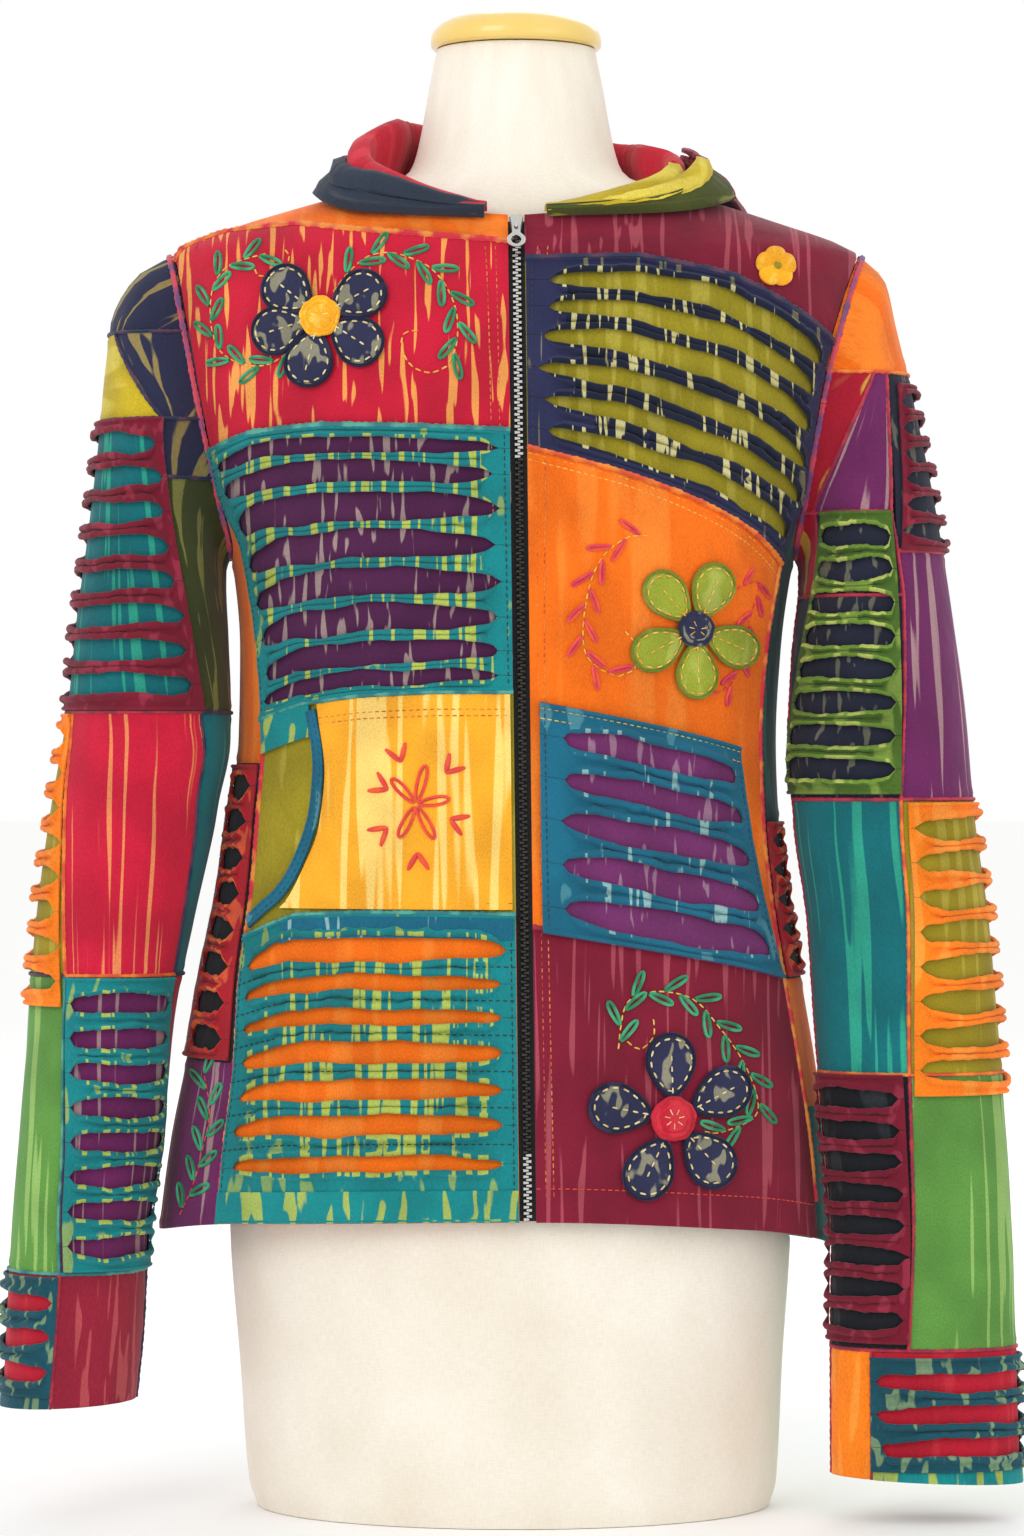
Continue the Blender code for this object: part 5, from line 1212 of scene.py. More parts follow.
def add_tube(mesh, points, ways, radii, sides=6, number=0.0, flat=1.0, slot=0):
    """Adds a thread or a rolled edge along a line, closed at both ends by a point."""
    tangent = np.gradient(points, axis=0)
    tangent /= np.linalg.norm(tangent, axis=1, keepdims=True)
    side = np.cross(tangent, ways)
    side /= np.linalg.norm(side, axis=1, keepdims=True)
    turn = np.arange(sides) * 2 * np.pi / sides
    radii = np.broadcast_to(radii, len(points))
    rings = points[:, None] + radii[:, None, None] * (
        np.cos(turn)[None, :, None] * side[:, None] + flat * np.sin(turn)[None, :, None] * ways[:, None]
    )
    count = len(points)
    far = np.concatenate([[0], np.cumsum(np.linalg.norm(np.diff(points, axis=0), axis=1))])
    cloth = np.zeros((count, sides, 3))
    cloth[..., 0] = np.sin(turn) * radii[:, None] * 2
    cloth[..., 1] = far[:, None]
    cloth[..., 2] = number
    index = np.arange(count * sides).reshape(count, sides)
    after = np.roll(index, -1, axis=1)
    faces = np.stack([index[:-1], index[1:], after[1:], after[:-1]], -1).reshape(-1, 4)
    mesh.add(rings, [faces, [index[0]], [index[-1, ::-1]]], cloth, (slot, slot, slot))


def add_dashes(mesh, points, ways, length, gap, radius, number=0.0, rise=0.25):
    """Adds running stitches along a line: short threads that dip into the cloth at both ends."""
    step = (length + gap) / 8
    points, ways, far = resampled(points, ways, step)
    tangent = np.gradient(points, axis=0)
    tangent /= np.linalg.norm(tangent, axis=1, keepdims=True)
    side = np.cross(tangent, ways)
    on = max(2, round(length / step))
    starts = np.arange(0, len(points) - on, 8)
    if not len(starts):
        return
    quarter, three = max(1, on // 4), on - max(1, on // 4)
    first, second = starts + quarter, starts + three
    tips = [points[starts] - ways[starts] * radius, points[starts + on] - ways[starts + on] * radius]
    rings = []
    for at in (first, second):
        middle = points[at] + ways[at] * rise
        for turn in (0, np.pi / 2, np.pi, 3 * np.pi / 2):
            rings.append(middle + radius * (np.cos(turn) * side[at] + np.sin(turn) * ways[at]))
    parts = np.stack([tips[0], *rings, tips[1]], 1)
    base = (np.arange(len(starts)) * 10)[:, None]
    quads, threes = [], []
    for k in range(4):
        n = (k + 1) % 4
        threes.append(base + np.array([[0, 1 + k, 1 + n]]))
        quads.append(base + np.array([[1 + k, 5 + k, 5 + n, 1 + n]]))
        threes.append(base + np.array([[9, 5 + n, 5 + k]]))
    cloth = np.zeros(parts.shape)
    cloth[..., 1] = far[starts][:, None] + np.arange(10)
    cloth[..., 2] = number
    mesh.add(parts, [np.concatenate(quads), np.concatenate(threes)], cloth)


def spline(marks, step=2.0):
    """A smooth line through marks in two directions, as even points."""
    marks = np.array(marks, float)
    share = np.linspace(0, 1, 24 * len(marks))
    wide = [np.broadcast_to(mark, (len(share), 2)) for mark in marks]
    line = through(wide, share)
    apart = np.linalg.norm(np.diff(line, axis=0), axis=1)
    far = np.concatenate([[0], np.cumsum(apart)])
    at = np.linspace(0, far[-1], max(3, round(far[-1] / step)))
    return np.stack([np.interp(at, far, line[:, k]) for k in range(2)], 1)


# The patches of the two fronts, between their level seams
PatchRow = namedtuple("PatchRow", "name side bottom top dye")
FRONT_PATCHES = [
    PatchRow("front_right_yoke", "right", "yoke", "neck", "orange"),
    PatchRow("front_right_chest", "right", "chest", "yoke", "red"),
    PatchRow("front_right_waist", "right", "waist", "chest", "purple_dark"),
    PatchRow("front_right_hip", "right", "pocket", "waist", "olive"),
    PatchRow("front_right_hem", "right", "hem", "pocket", "orange"),
    PatchRow("front_left_yoke", "left", "yoke", "neck", "maroon"),
    PatchRow("front_left_chest", "left", "chest", "yoke", "olive"),
    PatchRow("front_left_waist", "left", "waist", "chest", "orange"),
    PatchRow("front_left_hip", "left", "hem", "waist", "maroon"),
]
SlitRow = namedtuple("SlitRow", "middle reach")
WAIST_SLITS = [
    SlitRow(0.06, 0.030),
    SlitRow(0.155, 0.045),
    SlitRow(0.285, 0.052),
    SlitRow(0.42, 0.052),
    SlitRow(0.56, 0.055),
    SlitRow(0.70, 0.055),
    SlitRow(0.83, 0.042),
    SlitRow(0.93, 0.030),
]
HEM_SLITS = [
    SlitRow(0.19, 0.026),
    SlitRow(0.315, 0.034),
    SlitRow(0.43, 0.034),
    SlitRow(0.55, 0.036),
    SlitRow(0.665, 0.026),
    SlitRow(0.775, 0.026),
    SlitRow(0.885, 0.042),
]
CHEST_SLITS = [
    SlitRow(0.10, 0.042),
    SlitRow(0.26, 0.045),
    SlitRow(0.42, 0.048),
    SlitRow(0.59, 0.055),
    SlitRow(0.745, 0.048),
    SlitRow(0.885, 0.050),
]
POCKET_SLITS = [
    SlitRow(0.12, 0.068),
    SlitRow(0.31, 0.062),
    SlitRow(0.50, 0.058),
    SlitRow(0.68, 0.052),
    SlitRow(0.86, 0.052),
]
UpperRow = namedtuple("UpperRow", "name side bottom top lift slits dye below")
FRONT_UPPERS = [
    UpperRow("upper_waist_right", "right", "waist", "chest", 1.3, WAIST_SLITS, "teal_lime",
             "front_right_waist"),
    UpperRow("upper_hem_right", "right", "hem", "pocket", 0.9, HEM_SLITS, "teal_lime", "front_right_hem"),
    UpperRow("upper_chest_left", "left", "chest", "yoke", 1.3, CHEST_SLITS, "navy", "front_left_chest"),
]


# Turned-over bands on the fronts: shares across, and millimetres above a level seam
BandRow = namedtuple("BandRow", "name side level start end low high dye below")
BANDS = [
    BandRow("hem_band_right", "right", "hem", 0.002, 0.998, 0.2, 19, "teal_lime_band",
            "upper_hem_right_cloth"),
    BandRow("hem_top_band_right", "right", "pocket", 0.01, 0.80, -15, -2, "blue_lip",
            "upper_hem_right_cloth"),
    BandRow("waist_flap_right", "right", "waist", 0.72, 0.99, -21, 4, "teal_lime_band",
            "front_right_hip_cloth"),
]


def build_fronts():
    """The fronts' patches, their slashed upper layers and their bands."""
    for row in FRONT_PATCHES:
        place = between(row.side, row.bottom, row.top)
        shell(row.name + "_cloth", place, -CLOTH, 0, row.dye, [row.name],
              upright=True)
    for number, row in enumerate(FRONT_UPPERS):
        place = between(row.side, row.bottom, row.top, 0.3)
        slashed(row.name + "_cloth", place, row.slits, row.lift, row.dye, [row.name],
                upright=True, seed=number + 3)
    low, high = 2.0, 3.2
    for row in BANDS:
        def place(s, t, out, row=row):
            s = row.start + (row.end - row.start) * s
            level = level_of(row.side, row.level, s) + row.low
            return front_point(row.side, s, level + (row.high - row.low) * t, out)

        shell(row.name, as_walls(place, row.side), low, high, row.dye,
              grid=2.5, upright=True)


SideRow = namedtuple("SideRow", "name side low high dye")
SIDES = [
    SideRow("side_right_upper", "right", 458, None, "orange"),
    SideRow("side_right_middle", "right", 276, 458, "black"),
    SideRow("side_right_hem", "right", None, 276, "purple"),
    SideRow("side_left_upper", "left", 423, None, "teal_dark"),
    SideRow("side_left_middle", "left", 326, 423, "black"),
    SideRow("side_left_hip", "left", 248, 326, "orange"),
    SideRow("side_left_hem", "left", None, 248, "teal"),
]


def build_sides():
    """The side patches and the ripped ruffles on them."""
    for row in SIDES:
        place = side_place(row.side, row.low, row.high)
        shell(row.name + "_cloth", place, -CLOTH, 0, row.dye, [row.name])
    for side, low, high, slits, pitch, reach in (
        ("right", 277, 457, 8, 0.1225, 0.042),
        ("left", 327, 422, 5, 0.19, 0.055),
    ):
        rips = [SlitRow(0.07 + pitch * k + (0.05 if side == "left" else 0), reach) for k in range(slits)]
        whole = side_place(side, low, high)
        near, far = (0.03, 0.69) if side == "left" else (1 - 0.69, 1 - 0.03)

        def place(s, t, out, whole=whole, near=near, far=far):
            return whole(near + (far - near) * s, t, out)

        ends = (0.1, 0.55) if side == "left" else (0.45, 0.9)
        slashed(f"ruffle_{side}_cloth", place, rips, LAID_ON, "red_ripped", [f"ruffle_{side}"],
                ends=ends, lip=2.2, ruffle=1.0, waves=0.15, seed=21)


def build_back():
    """The back, in one piece."""
    shell("back_cloth", back_place, -CLOTH, 0, "teal", ["back"], grid=5.0)


EdgeRow = namedtuple("EdgeRow", "height share")
POCKET_RIGHT_EDGE = [
    EdgeRow(368, 0.84),
    EdgeRow(374, 0.80),
    EdgeRow(393, 0.735),
    EdgeRow(420, 0.67),
    EdgeRow(450, 0.655),
    EdgeRow(496, 0.69),
]
POCKET_RIGHT_BOTTOM = 370
POCKET_RIGHT_HEIGHT = 126
BINDING_WIDTH = 8.0
BindingRow = namedtuple("BindingRow", "share height")
BINDING = [
    BindingRow(0.695, 491),
    BindingRow(0.668, 472),
    BindingRow(0.660, 450),
    BindingRow(0.675, 421),
    BindingRow(0.745, 392),
    BindingRow(0.82, 375.5),
    BindingRow(0.90, 366),
    BindingRow(0.97, 357.5),
]
POCKET_EDGE_AT = Curve(POCKET_RIGHT_EDGE, "height", "share")


def pocket_right_place(s, t, out):
    """place for the right pocket, from its zip edge to its curved opening."""
    end = POCKET_EDGE_AT(POCKET_RIGHT_BOTTOM + POCKET_RIGHT_HEIGHT * t) - 0.004
    s = 0.01 + (end - 0.01) * s
    top = level_of("right", "waist", s) - 1.5
    return front_point("right", s, POCKET_RIGHT_BOTTOM + (top - POCKET_RIGHT_BOTTOM) * t, out)


def pocket_left_place(s, t, out):
    """place for the left pocket, which narrows to its top."""
    start = 0.03
    end = 0.965 + (0.815 - 0.965) * t
    low = 356 - 30 * s
    high = 495 - 27 * s
    return front_point("left", start + (end - start) * s, low + (high - low) * t, out)


def binding_line():
    """The line of the right pocket's bound edge and the way across it, in millimetres."""
    marks = spline([(row.share * FRONT_WIDTH, row.height) for row in BINDING])
    way = np.gradient(marks, axis=0)
    way /= np.linalg.norm(way, axis=1, keepdims=True)
    return marks, np.stack([-way[:, 1], way[:, 0]], 1)


def binding_place(s, t, out):
    """place for the bound edge, s across it and t along it."""
    line, square = binding_line()
    steps = np.linspace(0, 1, len(line))
    across = np.interp(t, steps, line[:, 0]) + np.interp(t, steps, square[:, 0]) * s * BINDING_WIDTH
    height = np.interp(t, steps, line[:, 1]) + np.interp(t, steps, square[:, 1]) * s * BINDING_WIDTH
    return front_point("right", across / FRONT_WIDTH, height, out)


def build_pockets():
    """The right pocket with its bound edge, and the left pocket with its slashed layer."""
    high = LAID_ON + LAYER
    shell("pocket_right_cloth", as_walls(pocket_right_place, "right"), LAID_ON, high, "yellow",
          ["pocket_right"], upright=True)
    shell("pocket_right_binding_cloth", binding_place, LAID_ON, LAID_ON + 2.2, "blue",
          ["pocket_right_binding"], grid=2.0, pucker=0.2, turned=3.4)
    shell("pocket_left_back_cloth", pocket_left_place, LAID_ON, LAID_ON + 1.0, "purple_soft",
          ["pocket_left_back"], upright=True)
    slashed("pocket_left_cloth", pocket_left_place, POCKET_SLITS, LAID_ON + 1.6, "blue",
            ["pocket_left"], ends=(0.09, 0.93), upright=True, seed=12)


# The patches of the sleeves: heights, and the turns of their two edges at the low and high ends
SleevePatchRow = namedtuple("SleevePatchRow", "name side low high low_in high_in low_out high_out dye")
SLEEVE_PATCHES = [
    SleevePatchRow("cap_front", "right", 668, 722, -7, -7, 6, 62, "navy_gold"),
    SleevePatchRow("cap_wedge", "right", 668, 722, 6, 62, 118, 118, "olive_yellow"),
    SleevePatchRow("cap_top", "right", 722, 800, -7, -7, 118, 118, "navy_gold"),
    SleevePatchRow("cap_back", "right", 668, 800, 118, 118, 187, 187, "navy_gold"),
    SleevePatchRow("arm", "right", 489, 668, -44, 6, 112, 115, "teal"),
    SleevePatchRow("arm_in", "right", 632, 668, 270, 270, 356, 366, "navy_gold"),
    SleevePatchRow("arm_back", "right", 632, 668, 115, 115, 270, 270, "olive_shadow"),
    SleevePatchRow("arm_under", "right", 489, 632, 112, 115, 316, 356, "olive_shadow"),
    SleevePatchRow("elbow_front", "right", 329, 489, -66, -44, 28, 62, "red_long"),
    SleevePatchRow("elbow_outer", "right", 329, 489, 28, 62, 115, 118, "olive"),
    SleevePatchRow("elbow_back", "right", 329, 489, 115, 118, 294, 316, "teal"),
    SleevePatchRow("forearm_front", "right", 149, 329, -92, -66, 10, 28, "purple"),
    SleevePatchRow("forearm_outer", "right", 149, 329, 10, 28, 115, 115, "green"),
    SleevePatchRow("forearm_back", "right", 149, 329, 115, 115, 268, 294, "red_plain"),
    SleevePatchRow("cuff_front", "right", 40, 149, -92, -92, 12, 10, "cuff_red"),
    SleevePatchRow("cuff_outer", "right", 40, 149, 12, 10, 114, 115, "red_plain"),
    SleevePatchRow("cuff_back", "right", 40, 149, 114, 115, 268, 268, "cuff_red"),
    SleevePatchRow("cap_front", "left", 697, 800, 12, 8, 118, 118, "orange"),
    SleevePatchRow("cap_back", "left", 697, 800, 118, 118, 172, 172, "orange"),
    SleevePatchRow("shoulder_in", "left", 611, 697, -88, -60, -42, 30, "red_gold"),
    SleevePatchRow("shoulder_front", "left", 611, 697, -42, 30, 22, 42, "purple"),
    SleevePatchRow("shoulder_outer", "left", 587, 697, 22, 42, 114, 114, "navy_plain"),
    SleevePatchRow("shoulder_back", "left", 587, 697, 114, 114, 272, 300, "green"),
    SleevePatchRow("arm_in", "left", 560, 611, -90, -88, -52, -42, "red_gold"),
    SleevePatchRow("arm_top", "left", 560, 611, -52, -42, 22, 22, "navy_plain"),
    SleevePatchRow("arm_front", "left", 436, 560, -92, -90, 8, 22, "navy_plain"),
    SleevePatchRow("arm_outer", "left", 436, 587, 8, 22, 114, 114, "purple"),
    SleevePatchRow("arm_back", "left", 436, 587, 114, 114, 268, 272, "green"),
    SleevePatchRow("elbow_front", "left", 270, 436, -94, -92, -4, 8, "teal"),
    SleevePatchRow("elbow_outer", "left", 270, 436, -4, 8, 114, 114, "olive"),
    SleevePatchRow("elbow_back", "left", 270, 436, 114, 114, 266, 268, "green"),
    SleevePatchRow("forearm_front", "left", 104, 270, -94, -94, -12, -4, "black"),
    SleevePatchRow("forearm_outer", "left", 104, 270, -12, -4, 114, 114, "green"),
    SleevePatchRow("forearm_back", "left", 104, 270, 114, 114, 266, 266, "green"),
    SleevePatchRow("cuff_front", "left", 0, 104, -94, -94, -37, -37, "orange_gold"),
    SleevePatchRow("cuff_outer", "left", 0, 104, -37, -37, 114, 114, "red_plain"),
    SleevePatchRow("cuff_back", "left", 0, 104, 114, 114, 266, 266, "green"),
]
SleeveUpperRow = namedtuple(
    "SleeveUpperRow", "name side low high low_in high_in low_out high_out slits reach lift dye below"
)
SLEEVE_UPPERS = [
    SleeveUpperRow("upper_arm", "right", 490, 668, -44, 6, 112, 115, 8, 0.31, 1.6, "maroon_dark", "arm"),
    SleeveUpperRow("upper_elbow", "right", 310, 488, 28, 62, 115, 118, 8, 0.31, 1.6, "orange_gold",
                   "elbow_outer"),
    SleeveUpperRow("upper_forearm", "right", 150, 328, -92, -62, 6, 25, 8, 0.28, 1.9, "teal_lime",
                   "forearm_front"),
    SleeveUpperRow("upper_cuff", "right", 74, 147, 12, 10, 112, 112, 3, 0.26, 1.2, "blue_dark",
                   "cuff_outer"),
    SleeveUpperRow("upper_shoulder", "left", 587, 690, 24, 50, 112, 112, 6, 0.33, 1.9, "maroon_dark",
                   "shoulder_outer"),
    SleeveUpperRow("upper_arm", "left", 439, 611, -92, -34, 8, 21, 8, 0.32, 1.6, "green_lime", "arm_front"),
    SleeveUpperRow("upper_elbow", "left", 257, 434, -2, 12, 112, 112, 8, 0.33, 1.6, "orange_gold",
                   "elbow_outer"),
    SleeveUpperRow("upper_forearm", "left", 108, 270, -94, -94, -12, -8, 8, 0.30, 1.9, "maroon_dark",
                   "forearm_front"),
    SleeveUpperRow("upper_cuff", "left", 31, 100, -37, -37, 108, 108, 3, 0.28, 1.6, "blue_dark",
                   "cuff_outer"),
]


SLEEVE_BANDS = [
    SleevePatchRow("cuff_band", "right", 41, 77, 12, 12, 112, 112, "blue_dark"),
    SleevePatchRow("cuff_band", "left", 1, 34, -36, -36, 110, 110, "teal_lime_band"),
]


def patch_place(row):
    """place(s, t, out) for a row of the sleeves' tables."""
    return sleeve_place(row.side, row.low, row.high, (row.low_in, row.high_in), (row.low_out, row.high_out))


def build_sleeves():
    """The sleeves' patches, cuff bands and slashed upper layers."""
    for row in SLEEVE_PATCHES:
        name = f"sleeve_{row.side}_{row.name}_cloth"
        shell(name, patch_place(row), -CLOTH, 0, row.dye, [f"sleeve_{row.side}"])
    for row in SLEEVE_BANDS:
        shell(f"{row.name}_{row.side}", patch_place(row), 0.4, 1.6, row.dye)
    for number, row in enumerate(SLEEVE_UPPERS):
        pitch = 1 / (row.slits + 0.5)
        slits = [SlitRow(pitch * (k + 0.75), pitch * row.reach) for k in range(row.slits)]
        name = f"{row.name}_{row.side}"
        slashed(name + "_cloth", patch_place(row), slits, row.lift, row.dye, [name],
                lip=2.3, ruffle=0.35, waves=0.12, blunt=0.22, seed=30 + number)


# The pieces of the hood: turns round the neck, and shares across its cloth
HoodPatchRow = namedtuple("HoodPatchRow", "name start end low high dye")
HOOD_PATCHES = [
    HoodPatchRow("hood_left_stand", 6, 52, 0.0, 0.42, "olive_yellow"),
    HoodPatchRow("hood_left_stand_back", 52, 104, 0.0, 0.42, "red_plain"),
    HoodPatchRow("hood_left_roll", 6, 66, 0.42, 0.80, "olive_dark"),
    HoodPatchRow("hood_left_edge", 6, 66, 0.80, 1.0, "olive_yellow"),
    HoodPatchRow("hood_left_end", 66, 128, 0.42, 1.0, "maroon"),
    HoodPatchRow("hood_back_stand", 104, 256, 0.0, 0.42, "red_plain"),
    HoodPatchRow("hood_back", 128, 236, 0.42, 1.0, "red_plain"),
    HoodPatchRow("hood_right_stand", 256, 354, 0.0, 0.42, "red_plain"),
    HoodPatchRow("hood_right_end", 236, 288, 0.42, 1.0, "maroon"),
    HoodPatchRow("hood_right_roll", 288, 354, 0.42, 1.0, "navy_band"),
]


def hood_place(row):
    """place(s, t, out) for a piece of the hood."""

    def place(s, t, out):
        return hood(row.start + (row.end - row.start) * s, row.low + (row.high - row.low) * t, out)

    return place


def build_hood():
    """The hood's patches, folded back off the neck."""
    for row in HOOD_PATCHES:
        shell(row.name + "_cloth", hood_place(row), -CLOTH / 2, CLOTH / 2, row.dye,
              ["hood"], pucker=0.5, grid=3.5)


FlowerRow = namedtuple(
    "FlowerRow", "name x z petal_x petal_radius wide centre petals dye edge middle thread below"
)
FLOWERS = [
    FlowerRow("flower_chest", -117, 726, 26, 17, 0.84, 12, (140, 28, -34, -104, -165),
              "navy_petal", "navy_edge", "yellow_soft", "thread_cream", "front_right_chest"),
    FlowerRow("flower_waist", 107, 539, 25, 17, 0.72, 10.5, (131, 68, -152, -88, -22),
              "olive_lime", "olive_edge", "navy_petal", "thread_gold", "front_left_waist"),
    FlowerRow("flower_hip", 93, 245, 32, 19, 0.76, 13, (92, 26, -49, -115, 168),
              "navy_petal", "navy_edge", "red_plain", "thread_cream", "front_left_hip"),
    FlowerRow("flower_yoke", 157, 759, 5.5, 7, 0.95, 2.5, (90, 18, -54, -126, 162),
              "yellow_soft", "yellow_soft", "olive", "thread_gold", "front_left_yoke"),
]
FLOWER_LOW = 0.9
# The rings and spokes of each petal's pad
PETAL_RINGS = 7
PETAL_SPOKES = 30


def petal_point(row, turn, share, around):
    """Where a petal's point lies on the front: share of the way out from its own middle."""
    reach, half = row.petal_radius, row.petal_radius * row.wide
    along = row.petal_x + share * reach * np.cos(around)
    aside = share * half * np.sin(around) * (1 + 0.16 * np.cos(around))
    aside *= np.clip(0.62 + 0.38 * along / row.petal_x, 0.5, 1)
    turn = math.radians(turn)
    x = row.x + along * math.cos(turn) - aside * math.sin(turn)
    z = row.z + along * math.sin(turn) + aside * math.cos(turn)
    return x, z


def add_pad(mesh, point, low, high, number, puff):
    """Adds a soft flat pad with a domed top over point(share, around)."""
    shares = np.sin(np.linspace(0.12, 1, PETAL_RINGS) * np.pi / 2)
    around = np.arange(PETAL_SPOKES) * 2 * np.pi / PETAL_SPOKES
    share, turn = np.meshgrid(shares, around, indexing="ij")
    x, z = point(share, turn)
    frill = 0.25 * np.sin(turn * 5 + number) * share**3
    top = on_front(x, z, high + puff * (1 - share**4) - 0.5 * share**8 + frill)
    x0, z0 = point(np.array([[0.0]]), np.array([[0.0]]))
    crown = on_front(x0, z0, high + puff)
    bottom = on_front(x[-1:], z[-1:], low)
    heel = on_front(x0, z0, low)
    rings = [crown.reshape(1, 3), top.reshape(-1, 3), bottom.reshape(-1, 3), heel.reshape(1, 3)]
    count = PETAL_SPOKES
    rows = PETAL_RINGS + 1
    index = 1 + np.arange(rows * count).reshape(rows, count)
    after = np.roll(index, -1, axis=1)
    quads = np.stack([index[:-1], index[1:], after[1:], after[:-1]], -1).reshape(-1, 4)
    fan = np.stack([np.zeros(count, int), index[0], after[0]], 1)
    heel_at = 1 + rows * count
    foot = np.stack([np.full(count, heel_at), after[-1], index[-1]], 1)
    flat = np.concatenate([[[x0.item(), z0.item()]], np.stack([x, z], -1).reshape(-1, 2)])
    flat = np.concatenate([flat, np.stack([x[-1], z[-1]], -1), [[x0.item(), z0.item()]]])
    cloth = np.concatenate([flat, np.full((len(flat), 1), number)], 1)
    mesh.add(np.concatenate(rings), [quads, fan, foot], cloth)


def build_flowers():
    """The cloth flowers: petals, stitches and round middles."""
    for row in FLOWERS:
        mesh, sewing = Mesh(), Mesh()
        for k, petal in enumerate(row.petals):
            lift = 0.55 * (k % 2)
            point = lambda share, around, petal=petal: petal_point(row, petal, share, around)
            add_pad(mesh, point, FLOWER_LOW, 2.0 + lift, next_patch(), 1.2)
            if row.petal_radius < 10:
                continue
            around = np.linspace(0, 2 * np.pi, 60)
            x, z = point(np.full(60, 0.97), around)
            line, ways = traced(on_front, x, z, 2.0 + lift)
            add_tube(mesh, line, ways, 1.15, 6, next_patch(), slot=1)
            x, z = point(np.full(60, 0.82), around)
            line, ways = traced(on_front, x, z, 2.9 + lift)
            add_dashes(sewing, line, ways, 4.6, 2.2, 0.55, next_patch())
            reach = np.linspace(-0.9, 0.45, 12)
            x, z = point(np.abs(reach), np.where(reach < 0, np.pi, 0.0))
            line, ways = traced(on_front, x, z, 3.3 + lift)
            add_dashes(sewing, line, ways, 4.0, 2.4, 0.5, next_patch())
        made = mesh.made(row.name + "_petals", cotton(row.dye), cotton(row.edge))
        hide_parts(row.name)
        centre = Mesh()
        disc = lambda share, around: (row.x + row.centre * share * np.cos(around),
                                      row.z + row.centre * share * np.sin(around))
        add_pad(centre, disc, 2.4, 3.4, next_patch(), 1.5)
        if row.petal_radius >= 10:
            around = np.linspace(0, 2 * np.pi, 50)
            for reach, out, radius in ((0.93, 3.2, 1.3), (0.62, 4.4, 0.6)):
                uneven = reach * row.centre * (1 + 0.03 * np.sin(around * 5) + 0.02 * np.sin(around * 11))
                x, z = row.x + uneven * np.cos(around), row.z + uneven * np.sin(around)
                line, ways = traced(on_front, x, z, out)
                add_tube(centre, line, ways, radius, 6, next_patch())
        middle = centre.made(row.name + "_middle_pad", cotton(row.middle))
        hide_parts(row.name + "_middle")
        if row.petal_radius >= 10:
            for k in range(7):
                turn = math.radians(k * 360 / 7 + 12)
                reach = np.linspace(0.15, 0.55, 8) * row.centre
                x, z = row.x + reach * math.cos(turn), row.z + reach * math.sin(turn)
                line, ways = traced(on_front, x, z, 4.5)
                add_dashes(sewing, line, ways, 4.4, 2.0, 0.4, next_patch())
            made = sewing.made(row.name + "_stitches", thread(row.thread, *THREADS[row.thread]))


# The embroidered vines: marks along the stem, and the leaves' length and threads
VineRow = namedtuple("VineRow", "name marks leaf leaf_thread stem_thread out first")
VINES = [
    VineRow("chest_in", ((-134, 708), (-146, 700), (-157, 698), (-169, 701), (-180, 709), (-185, 722),
                         (-186, 736), (-184, 749), (-177, 759), (-165, 764), (-150, 767)),
            14, "thread_green", "thread_gold", 0.3, 1),
    VineRow("chest_in_curl", ((-140, 769), (-137, 763), (-144, 755), (-155, 753), (-159, 759)),
            0, "thread_green", "thread_gold", 0.3, 0),
    VineRow("chest_out", ((-110, 741), (-101, 753), (-89, 763), (-76, 765), (-62, 761), (-49, 753),
                          (-39, 738), (-35, 722), (-36, 707), (-41, 695)),
            15, "thread_green", "thread_gold", 0.3, 0),
    VineRow("chest_out_curl", ((-41, 695), (-51, 691), (-62, 695), (-68, 705), (-67, 715), (-57, 717)),
            0, "thread_green", "thread_gold", 0.3, 0),
    VineRow("waist_in", ((79, 594), (67, 593), (54, 584), (46, 571), (42, 556), (40, 540), (41, 525),
                         (49, 515), (61, 510)), 14, "thread_pink", "thread_gold", 0.3, 0),
    VineRow("waist_curl", ((61, 510), (71, 515), (73, 527), (65, 537)),
            0, "thread_pink", "thread_gold", 0.3, 0),
    VineRow("waist_out", ((133, 564), (147, 568), (144, 554), (140, 538), (136, 521), (131, 507),
                         (121, 500)),
            11, "thread_pink", "thread_pink", 0.3, 1),
    VineRow("hip", ((61, 287), (66, 314), (84, 321), (106, 316), (121, 300), (136, 279), (145, 257),
                    (143, 244), (121, 236), (110, 238)), 15, "thread_green", "thread_gold", 0.3, 0),
    VineRow("hip_curl", ((82, 305), (82, 294), (74, 287), (66, 292)),
            0, "thread_green", "thread_gold", 0.3, 0),
    VineRow("side", ((-205, 182), (-196, 202), (-190, 224), (-186, 246), (-190, 268)),
            14, "thread_green", "thread_pink", 0.3, 1),
]
LEAF_SPACING = 9.5
LEAF_LEAN = 34.0
DAISY = (-59.5, 433)
DAISY_PETALS = ((76, 22), (10, 18), (-62, 21), (-117, 20), (133, 19))
DAISY_MARKS = ((109, 27), (47, 26), (-23, 22), (-88, 29), (-141, 22), (152, 19))
DAISY_MARK = 12.0


def add_leaf(mesh, x, z, turn, length, half, out, number):
    """Adds a leaf: a loop of thick thread, pulled long, that starts at a place along a turn."""
    around = np.linspace(0, 2 * np.pi, 21)
    along = length * 0.5 * (1 - np.cos(around))
    aside = half * np.sin(around) * (1 - 0.2 * np.cos(around))
    xs = x + along * math.cos(turn) - aside * math.sin(turn)
    zs = z + along * math.sin(turn) + aside * math.cos(turn)
    points, ways = traced(on_front, xs, zs, out)
    add_tube(mesh, points, ways, size("leaf_thread"), 5, number)


